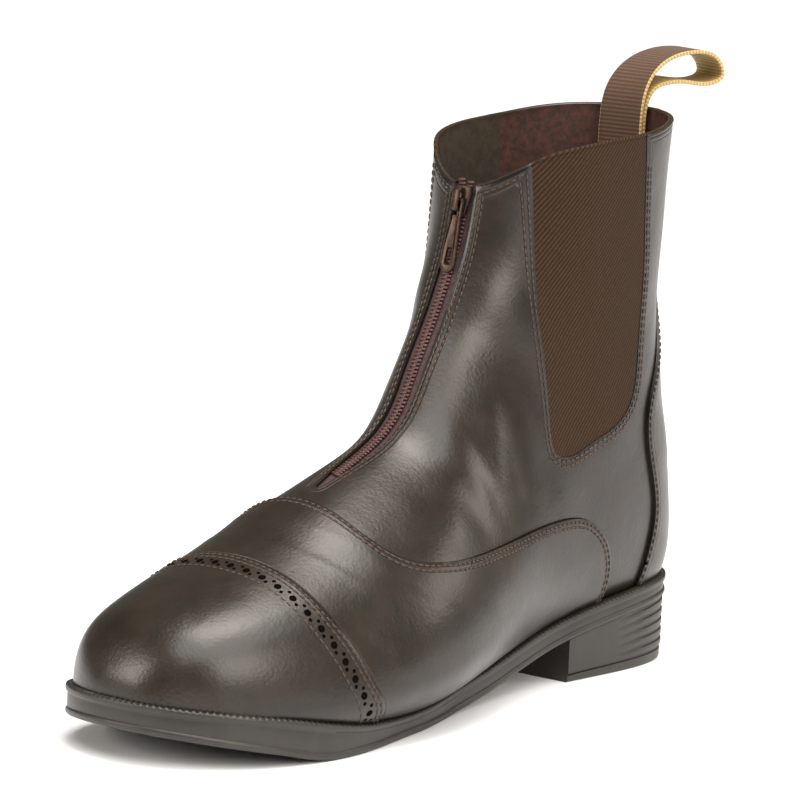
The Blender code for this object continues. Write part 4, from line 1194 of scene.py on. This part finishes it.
def sole_outline(count, margin=None):
    """Plan points of the sole's edge from toe to heel: left, then right."""
    back = 17.6
    for _ in range(30):
        point = surface(back, np.pi)
        back += 0.004 * (feather_height(point[0]) - point[2])
    # stations crowd towards the heel, and a little towards the toe, where the outline turns
    share = np.linspace(0.0, 1.0, count)
    rows = back * (0.5 * np.sin(share * np.pi / 2) ** 1.6 + 0.5 * (1.0 - (1.0 - share) ** 1.5))
    lines = []
    for side in (1.0, -1.0):
        lines.append(surface(rows, side * meets_sole(rows, np.full(count, side)))[:, :2])
    loop = np.concatenate([lines[0], lines[1][-2:0:-1]])
    loop = smooth_loop(loop, 700)
    way = np.roll(loop, -1, axis=0) - np.roll(loop, 1, axis=0)
    out = np.stack([way[:, 1], -way[:, 0]], -1)
    out = out / np.linalg.norm(out, axis=1, keepdims=True)
    if margin is None:
        values = (millimetres("welt_back"), millimetres("welt_heel"), millimetres("welt_heel"),
                  millimetres("welt_toe"))
        size = np.interp(loop[:, 0], (-38.0, -20.0, 40.0, 110.0), values)
    else:
        size = np.full(len(loop), margin)
    loop = loop + out * size[:, None]
    return split_loop(loop, count)


def smooth_loop(loop, count):
    """A closed plan line resampled evenly, with small kinks eased."""
    closed = np.concatenate([loop, loop[:1]])
    along = np.concatenate([[0.0], np.cumsum(np.linalg.norm(np.diff(closed, axis=0), axis=1))])
    at = np.linspace(0.0, along[-1], count, endpoint=False)
    even = np.stack([np.interp(at, along, closed[:, k]) for k in (0, 1)], -1)
    for _ in range(60):
        even = even * 0.5 + 0.25 * (np.roll(even, 1, axis=0) + np.roll(even, -1, axis=0))
    return even


def split_loop(loop, count):
    """The loop's left and right halves from its front to its back, each with the same count."""
    front, back = loop[:, 0].argmax(), loop[:, 0].argmin()
    loop = np.roll(loop, -front, axis=0)
    back = (back - front) % len(loop)
    halves = (loop[:back + 1], np.concatenate([loop[:1], loop[:back - 1:-1]]))
    ends = []
    for half in halves:
        along = np.concatenate([[0.0], np.cumsum(np.linalg.norm(np.diff(half, axis=0), axis=1))])
        at = np.linspace(0.0, along[-1], count)
        ends.append(np.stack([np.interp(at, along, half[:, k]) for k in (0, 1)], -1))
    return ends


def inset_plan(points, inset):
    """A closed plan line moved inwards, by one value or one for each point."""
    way = np.roll(points, -1, axis=0) - np.roll(points, 1, axis=0)
    out = np.stack([way[:, 1], -way[:, 0]], -1)
    out = out / np.maximum(np.linalg.norm(out, axis=1, keepdims=True), 1e-9)
    return points - out * np.asarray(inset).reshape(-1, 1)


class BOOT_OT_sole(Operator):
    """Adds the moulded sole: knurled welt, side steps, heel with stack ribs and flat breast"""

    bl_idname = "boot.sole"
    bl_label = "Sole"

    def execute(self, context):
        left, right = sole_outline(560)
        sole = self.sole_body(left, right)
        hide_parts("sole")
        heel = self.heel_body(left, right)
        return {"FINISHED"}

    def sole_body(self, left, right):
        """The side band from welt ledge to lip, closed above and below."""
        loop = np.concatenate([left, right[-2:0:-1]])
        gaps = np.linalg.norm(np.roll(loop, -1, axis=0) - loop, axis=1)
        along = np.concatenate([[0.0], np.cumsum(gaps)[:-1]])
        # each step as its inset, the line that it is measured from, and its height over that line
        steps = (
            (7.5, "top", -0.5), (5.6, "top", -0.5), (5.0, "top", -0.9), (4.2, "top", -0.9), (3.7, "top", -0.2),
            (3.1, "top", 0.0), (2.2, "top", 0.05), (1.2, "top", 0.0), (0.5, "top", -0.25), (0.1, "top", -0.7),
            (0.0, "top", -1.3), (0.0, "top", -2.0), (0.15, "top", -2.5), (0.75, "top", -2.9),
            (0.8, "top", -3.4),
            (0.7, "top", -3.8), (0.7, "low", 3.4), (0.75, "low", 2.9), (0.2, "low", 2.4), (0.1, "low", 1.4),
            (0.4, "low", 0.6), (1.1, "low", 0.1), (1.9, "low", 0.0),
        )
        bm = bmesh.new()
        bmesh.ops.create_grid(bm, x_segments=len(loop), y_segments=len(steps) - 1, size=1.0)
        columns = len(loop) + 1
        verts = list(bm.verts)
        for k, (inset, level, rise) in enumerate(steps):
            ring = inset_plan(loop, inset)
            base = feather_height if level == "top" else under_height
            z = base(ring[:, 0]) + rise
            if level == "top" and 0.1 < inset < 3.5 and rise > -1.0:
                z = z + 0.28 * np.sin(along * 2.0 * np.pi / 2.35) - 0.1
            for j in range(columns):
                i = j % len(loop)
                verts[k * columns + j].co = (ring[i, 0], ring[i, 1], z[i])
        bmesh.ops.remove_doubles(bm, verts=bm.verts, dist=0.001)
        self.close_with_ladder(bm, left, right, steps)
        bmesh.ops.recalc_face_normals(bm, faces=bm.faces)
        if bm.calc_volume(signed=True) < 0:
            bmesh.ops.reverse_faces(bm, faces=bm.faces)
        return finish_mesh("moulded_sole", bm, [boot_rubber()], sharp=50.0)

    def close_with_ladder(self, bm, left, right, steps):
        """Covers the top and the underside with cross strips between the two side lines."""
        loop = np.concatenate([left, right[-2:0:-1]])
        count = len(left)
        for (inset, level, rise) in (steps[0], steps[-1]):
            base = feather_height if level == "top" else under_height
            ring = inset_plan(loop, inset)
            near = ring[:count]
            far = np.concatenate([ring[:1], ring[:count - 2:-1]])
            grid = bmesh.ops.create_grid(bm, x_segments=6, y_segments=count - 1, size=1.0)["verts"]
            for k, vert in enumerate(grid):
                i, j = divmod(k, 7)
                x, y = near[i] * (1.0 - j / 6.0) + far[i] * (j / 6.0)
                vert.co = (x, y, float(base(x)) + rise)
        bmesh.ops.remove_doubles(bm, verts=bm.verts, dist=0.003)

    def heel_body(self, left, right):
        """The heel block, with ribs that fade out towards the breast."""
        loop = np.concatenate([left, right[-2:0:-1]])
        behind = np.flatnonzero(loop[:, 0] < BREAST_X)
        ribs = bpy.context.scene.boot_sizes.heel_ribs
        # each level as its share of the heel's height and how far in it lies: the lip, a groove, then the ribs
        levels = [(0.0, 1.2), (0.02, 0.6), (0.05, 0.35), (0.13, 0.3), (0.16, 0.35), (0.175, 0.9), (0.2, 0.95),
                  (0.215, 0.4)]
        for k in range(ribs):
            start = 0.22 + 0.78 * k / ribs
            wide = 0.78 / ribs
            rib = ((0.1, 0.0), (0.35, -0.1), (0.6, 0.0), (0.75, 0.55), (0.9, 0.6))
            levels += [(start + wide * share, depth) for share, depth in rib]
        levels += [(1.0, 0.3), (1.1, 0.8)]
        bm = bmesh.new()
        columns = len(behind) + 2
        grid = bmesh.ops.create_grid(bm, x_segments=columns - 1, y_segments=len(levels) - 1, size=1.0)["verts"]
        for k, (share, depth) in enumerate(levels):
            fade = np.clip((8.0 - loop[:, 0]) / 26.0, 0.0, 1.0)
            fade = fade * fade * (3.0 - 2.0 * fade)
            inset = 0.85 + (depth * fade if 0.2 < share < 1.05 else depth)
            ring = inset_plan(loop, inset)
            back = ring[behind]
            before, after = ring[behind[0] - 1], ring[(behind[-1] + 1) % len(ring)]
            ends = []
            for inner, outer in ((back[0], before), (back[-1], after)):
                part = (BREAST_X - inner[0]) / (outer[0] - inner[0])
                ends.append(inner + (outer - inner) * part)
            row = np.concatenate([[ends[0]], back, [ends[1]]])
            for j in range(columns):
                x, y = row[j]
                grid[k * columns + j].co = (x, y, float(under_height(x)) * share)
        for k in (0, len(levels) - 1):
            bmesh.ops.contextual_create(bm, geom=grid[k * columns:(k + 1) * columns])
        face = [grid[k * columns] for k in range(len(levels))]
        face += [grid[k * columns + columns - 1] for k in range(len(levels))]
        bmesh.ops.contextual_create(bm, geom=face)
        bmesh.ops.triangulate(bm, faces=[f for f in bm.faces if len(f.verts) > 4])
        bmesh.ops.recalc_face_normals(bm, faces=bm.faces)
        if bm.calc_volume(signed=True) < 0:
            bmesh.ops.reverse_faces(bm, faces=bm.faces)
        return finish_mesh("moulded_heel", bm, [boot_rubber()], sharp=35.0)


def zip_frame():
    """Where the slider sits: its place on the ridge, the way up the zip and the way out."""
    place = surface(SLIDER_AT, 0.0)
    up = surface(SLIDER_AT + 0.05, 0.0) - surface(SLIDER_AT - 0.05, 0.0)
    up = np.array([up[0], 0.0, up[2]])
    up = up / np.linalg.norm(up)
    return place, up, np.cross([0.0, 1.0, 0.0], up)


def add_block(bm, outline, low, high, plane, bevel):
    """An outline extruded across the zip or out from it, with eased edges."""
    place, up, out = zip_frame()
    across = np.array([0.0, 1.0, 0.0])
    second, third = (out, across) if plane == "side" else (across, out)
    verts = [bm.verts.new(place + up * u + second * v + third * low) for u, v in outline]
    face = bm.faces.new(verts)
    made = bmesh.ops.extrude_face_region(bm, geom=[face])
    top = [item for item in made["geom"] if isinstance(item, bmesh.types.BMVert)]
    bmesh.ops.translate(bm, vec=Vector(third * (high - low)), verts=top)
    faces = {face for vert in verts + top for face in vert.link_faces}
    edges = list({edge for face in faces for edge in face.edges})
    bmesh.ops.recalc_face_normals(bm, faces=list(faces))
    if bevel > 0.0:
        bmesh.ops.bevel(bm, geom=edges, offset=bevel, affect="EDGES", segments=2, profile=0.5, material=-1)


class BOOT_OT_zip(Operator):
    """Adds the zip: tape, teeth, slider and pull"""

    bl_idname = "boot.zip"
    bl_label = "Zip"

    def execute(self, context):
        self.tape()
        self.teeth()
        self.slider()
        self.pull()
        return {"FINISHED"}

    def tape(self):
        """The woven tape behind the slot."""
        tape = shared_material("woven_zip_tape", brushed_lining, "#2a1d1c", "#4a3432", nap=0.5)

        def region(at, turn):
            return np.minimum(5.0 - slot_distance(at, turn), seam("collar", at, turn) - 1.0)

        bm = leather_panel(region, -1.35, 0.5, (9.6, 26.0), spacing=1.2)
        piece = finish_mesh("zip_tape_cloth", bm, [tape])
        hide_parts("zip_tape")

    def teeth(self):
        """Two rows of coil teeth that mesh along the middle."""
        coil = shared_material("nylon_coil", moulded_coil, colours().coil, "#5d3b39")
        ats = np.linspace(ZIP_START + 0.4, 23.4, 1200)
        path = even_path(np.stack([ats, 0.0 * ats], -1), millimetres("tooth_pitch") / 2)
        frames = []
        points = surface(path[:, 0], path[:, 1])
        normals = outward(path[:, 0], path[:, 1])
        for k, (point, z, way) in enumerate(zip(points, normals, np.gradient(points, axis=0))):
            side = 1.0 if k % 2 else -1.0
            opened = max(0.0, path[k, 0] - SLIDER_AT - 0.25) * 1.6
            x = way / np.linalg.norm(way)
            y = np.cross(z, x)
            frames.append((point + y * side * (0.75 + opened) - z * 0.75, (x, y, z)))
        bm = bmesh.new()
        bmesh.ops.create_cube(bm, size=1.0, matrix=Matrix.Diagonal((0.95, 2.9, 1.1, 1.0)))
        bmesh.ops.bevel(bm, geom=list(bm.edges), offset=0.25, affect="EDGES", segments=1, profile=0.5,
                        material=-1)
        repeat_shape(bm, frames)
        piece = finish_mesh("zip_teeth", bm, [coil], sharp=60.0)
        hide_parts("zip_coil")

    def slider(self):
        """The slider's shield shaped body with an open bridge over it."""
        bm = bmesh.new()
        shield = ((-5.5, -2.6), (-5.5, 2.6), (-1.0, 3.4), (3.0, 4.1), (5.5, 3.6), (5.5, -3.6), (3.0, -4.1),
                  (-1.0, -3.4))
        bridge = ((-4.5, 1.0), (-4.5, 3.0), (-3.4, 4.5), (3.4, 4.5), (4.5, 3.0), (4.5, 1.0), (2.9, 1.0),
                  (2.9, 2.7), (2.3, 3.4), (-2.3, 3.4), (-2.9, 2.7), (-2.9, 1.0))
        add_block(bm, shield, -0.3, 1.5, "flat", 0.4)
        add_block(bm, bridge, -1.1, 1.1, "side", 0.25)
        piece = finish_mesh("zip_slider_metal", bm, [boot_metal()], sharp=30.0)
        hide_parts("zip_slider")

    def pull(self):
        """The pull: a long drop with an eye at each end."""
        bm = bmesh.new()
        low, high = PULL_LIFT - 0.6, PULL_LIFT + 0.6
        left = ((0.0, 0.0), (0.0, 2.7), (-7.0, 2.5), (-16.0, 2.9), (-23.0, 3.2), (-25.5, 2.4), (-26.5, 0.9),
                (-26.5, 0.0), (-23.6, 0.0), (-23.6, 1.4), (-17.5, 1.0), (-17.5, 0.0), (-5.6, 0.0), (-5.6, 1.5),
                (-0.5, 1.5), (-0.5, 0.0))
        add_block(bm, left, low, high, "flat", 0.0)
        bmesh.ops.delete(bm, geom=[f for f in bm.faces if max(abs(v.co.y) for v in f.verts) < 1e-6],
                         context="FACES_ONLY")
        bmesh.ops.mirror(bm, geom=list(bm.verts) + list(bm.edges) + list(bm.faces), axis="Y", merge_dist=0.001)
        bmesh.ops.remove_doubles(bm, verts=bm.verts, dist=0.001)
        bmesh.ops.recalc_face_normals(bm, faces=bm.faces)
        if bm.calc_volume(signed=True) < 0:
            bmesh.ops.reverse_faces(bm, faces=bm.faces)
        edges = [edge for edge in bm.edges if edge.is_manifold and edge.calc_face_angle() > 0.6]
        bmesh.ops.bevel(bm, geom=edges, offset=0.28, affect="EDGES", segments=2, profile=0.5, material=-1)
        place, up, out = zip_frame()
        turn = Matrix.Translation(place + out * PULL_LIFT) @ Matrix.Rotation(math.pi / 2, 4, "X")
        bmesh.ops.create_cone(bm, cap_ends=True, segments=24, radius1=PULL_BAR, radius2=PULL_BAR, depth=5.0,
                              matrix=turn)
        piece = finish_mesh("zip_pull_metal", bm, [boot_metal()], body="zip_pull", sharp=30.0)
        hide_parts("zip_pull")


class BOOT_OT_pull_loop(Operator):
    """Adds the webbing pull loop at the back"""

    bl_idname = "boot.pull_loop"
    bl_label = "Pull loop"

    def execute(self, context):
        outer = shared_material("brown_webbing", ribbed_webbing, "#2e1d12", colours().webbing)
        inner = shared_material("gold_webbing", ribbed_webbing, "#6e5a2c", colours().gold)
        edge = shared_material("cream_selvedge", ribbed_webbing, "#8f744a", colours().cream)
        count = 190
        line = smooth_line(LOOP, count)
        way = np.gradient(line[:, :3], axis=0)
        way = way / np.linalg.norm(way, axis=1, keepdims=True)
        turn = np.radians(line[:, 3])
        wide = np.stack([np.sin(turn), np.cos(turn), 0.0 * turn], -1)
        thick = np.cross(way, wide)
        thick = thick / np.linalg.norm(thick, axis=1, keepdims=True)
        along = np.concatenate([[0.0], np.cumsum(np.linalg.norm(np.diff(line[:, :3], axis=0), axis=1))])
        across = np.linspace(-1.0, 1.0, 9)
        profile = [(s * 9.1, 0.72) for s in across] + [(9.5, 0.4), (9.5, -0.4)]
        profile += [(s * 9.1, -0.72) for s in across[::-1]] + [(-9.5, -0.4), (-9.5, 0.4)]
        bm = bmesh.new()
        uv = bm.loops.layers.uv.new("strap")
        columns = len(profile) + 1
        grid = bmesh.ops.create_grid(bm, x_segments=columns - 1, y_segments=count - 1, size=1.0)["verts"]
        place = {}
        for k, vert in enumerate(grid):
            i, j = divmod(k, columns)
            side, out = profile[j % len(profile)]
            vert.co = line[i, :3] + wide[i] * side + thick[i] * out
            place[vert] = (i, j, along[i], side)
        for face in bm.faces:
            column = min(place[vert][1] for vert in face.verts)
            face.material_index = 0 if column < 8 else (2 if column < 11 else (1 if column < 19 else 2))
            for corner in face.loops:
                corner[uv].uv = (place[corner.vert][2], place[corner.vert][3])
        bmesh.ops.remove_doubles(bm, verts=bm.verts, dist=0.001)
        bmesh.ops.holes_fill(bm, edges=[e for e in bm.edges if e.is_boundary], sides=0)
        bmesh.ops.recalc_face_normals(bm, faces=bm.faces)
        piece = finish_mesh("webbing_loop", bm, [inner, outer, edge])
        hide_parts("pull_loop")
        return {"FINISHED"}


class BOOT_OT_stage(Operator):
    """Adds the floor, the soft light and the camera"""

    bl_idname = "boot.stage"
    bl_label = "Stage"

    def execute(self, context):
        bm = bmesh.new()
        bmesh.ops.create_grid(bm, x_segments=1, y_segments=1, size=30.0)
        mesh = bpy.data.meshes.new("floor")
        bm.to_mesh(mesh)
        bm.free()
        floor = bpy.data.objects.new("floor", mesh)
        context.collection.objects.link(floor)
        material, _, shader, _ = start_material("matt_paper_floor")
        shader.inputs["Base Color"].default_value = linear("#f2f4f8")
        shader.inputs["Roughness"].default_value = 0.9
        mesh.materials.append(material)
        world = bpy.data.worlds.new("studio")
        context.scene.world = world
        world.use_nodes = True
        world.node_tree.nodes["Background"].inputs["Color"].default_value = linear("#f3ece0")
        world.node_tree.nodes["Background"].inputs["Strength"].default_value = 0.26
        self.lights(context)
        self.camera(context)
        context.scene.view_settings.view_transform = "Standard"
        return {"FINISHED"}

    def lights(self, context):
        """A soft sun from above, and soft boxes overhead, ahead of the toe, beside the boot and behind the
        heel.
        """
        sun = bpy.data.lights.new("even_light", "SUN")
        sun.energy = 3.4
        sun.color = linear("#fffcf8")[:3]
        sun.angle = math.radians(60.0)
        lamp = bpy.data.objects.new("even_light", sun)
        lamp.rotation_euler = Vector((-0.25, -0.35, -1.0)).to_track_quat("-Z", "Y").to_euler()
        context.collection.objects.link(lamp)
        for name, power, size, place in (
            ("overhead", 14.0, 0.8, (0.1, 0.1, 1.5)),
            ("ahead", 12.0, 0.6, (1.5, -0.8, 0.7)),
            ("beside", 16.0, 0.8, (0.6, 1.6, 0.8)),
            ("behind", 4.0, 0.5, (-0.9, 0.9, 0.6)),
        ):
            light = bpy.data.lights.new(name, "AREA")
            light.energy = power
            light.color = linear("#fff7ec")[:3]
            light.size = size
            lamp = bpy.data.objects.new(name, light)
            lamp.location = place
            lamp.rotation_euler = (Vector((0.1, 0.0, 0.08)) - Vector(place)).to_track_quat("-Z", "Y").to_euler()
            context.collection.objects.link(lamp)

    def camera(self, context):
        """The photograph's own view, worked out from the boot's outline in it."""
        azimuth, elevation, roll = math.radians(127.69), math.radians(9.296), math.radians(2.366)
        back = Vector((math.sin(azimuth) * math.cos(elevation), -math.cos(azimuth) * math.cos(elevation),
                       math.sin(elevation)))
        right = Vector((math.cos(azimuth), math.sin(azimuth), 0.0))
        up = back.cross(right)
        right, up = (right * math.cos(roll) + up * math.sin(roll), up * math.cos(roll) - right * math.sin(roll))
        target = Vector((0.1, 0.0, 0.08)) + right * -0.00125 + up * 0.02862
        data = bpy.data.cameras.new("camera")
        data.lens = 205.4
        data.clip_start = 0.1
        camera = bpy.data.objects.new("camera", data)
        context.collection.objects.link(camera)
        turn = Matrix((right, up, back)).transposed().to_4x4()
        camera.matrix_world = Matrix.Translation(target + back * 1.6317) @ turn
        context.scene.camera = camera


PIECES = (
    BOOT_OT_quarters, BOOT_OT_vamp, BOOT_OT_toe_cap, BOOT_OT_backstay, BOOT_OT_gores, BOOT_OT_lining,
    BOOT_OT_stitching, BOOT_OT_sole, BOOT_OT_zip, BOOT_OT_pull_loop, BOOT_OT_stage,
)


class BOOT_PT_panel(Panel):
    """Lists the boot's pieces, sizes and colours"""

    bl_idname = "BOOT_PT_panel"
    bl_label = "Paddock Boot"
    bl_space_type = "VIEW_3D"
    bl_region_type = "UI"
    bl_category = "Boot"

    def draw(self, context):
        for piece in PIECES:
            self.layout.operator(piece.bl_idname)
        for group in (context.scene.boot_sizes, context.scene.boot_colours):
            for name in group.__annotations__:
                self.layout.prop(group, name)


CLASSES = (BootSizes, BootColours, *PIECES, BOOT_PT_panel)


def register():
    for cls in CLASSES:
        bpy.utils.register_class(cls)
    bpy.types.Scene.boot_sizes = PointerProperty(type=BootSizes)
    bpy.types.Scene.boot_colours = PointerProperty(type=BootColours)


def unregister():
    del bpy.types.Scene.boot_colours
    del bpy.types.Scene.boot_sizes
    for cls in reversed(CLASSES):
        bpy.utils.unregister_class(cls)


def main():
    register()
    bpy.ops.boot.quarters()
    bpy.ops.boot.vamp()
    bpy.ops.boot.toe_cap()
    bpy.ops.boot.backstay()
    bpy.ops.boot.gores()
    bpy.ops.boot.lining()
    bpy.ops.boot.stitching()
    bpy.ops.boot.sole()
    bpy.ops.boot.zip()
    bpy.ops.boot.pull_loop()
    bpy.ops.boot.stage()


if __name__ == "__main__":
    main()
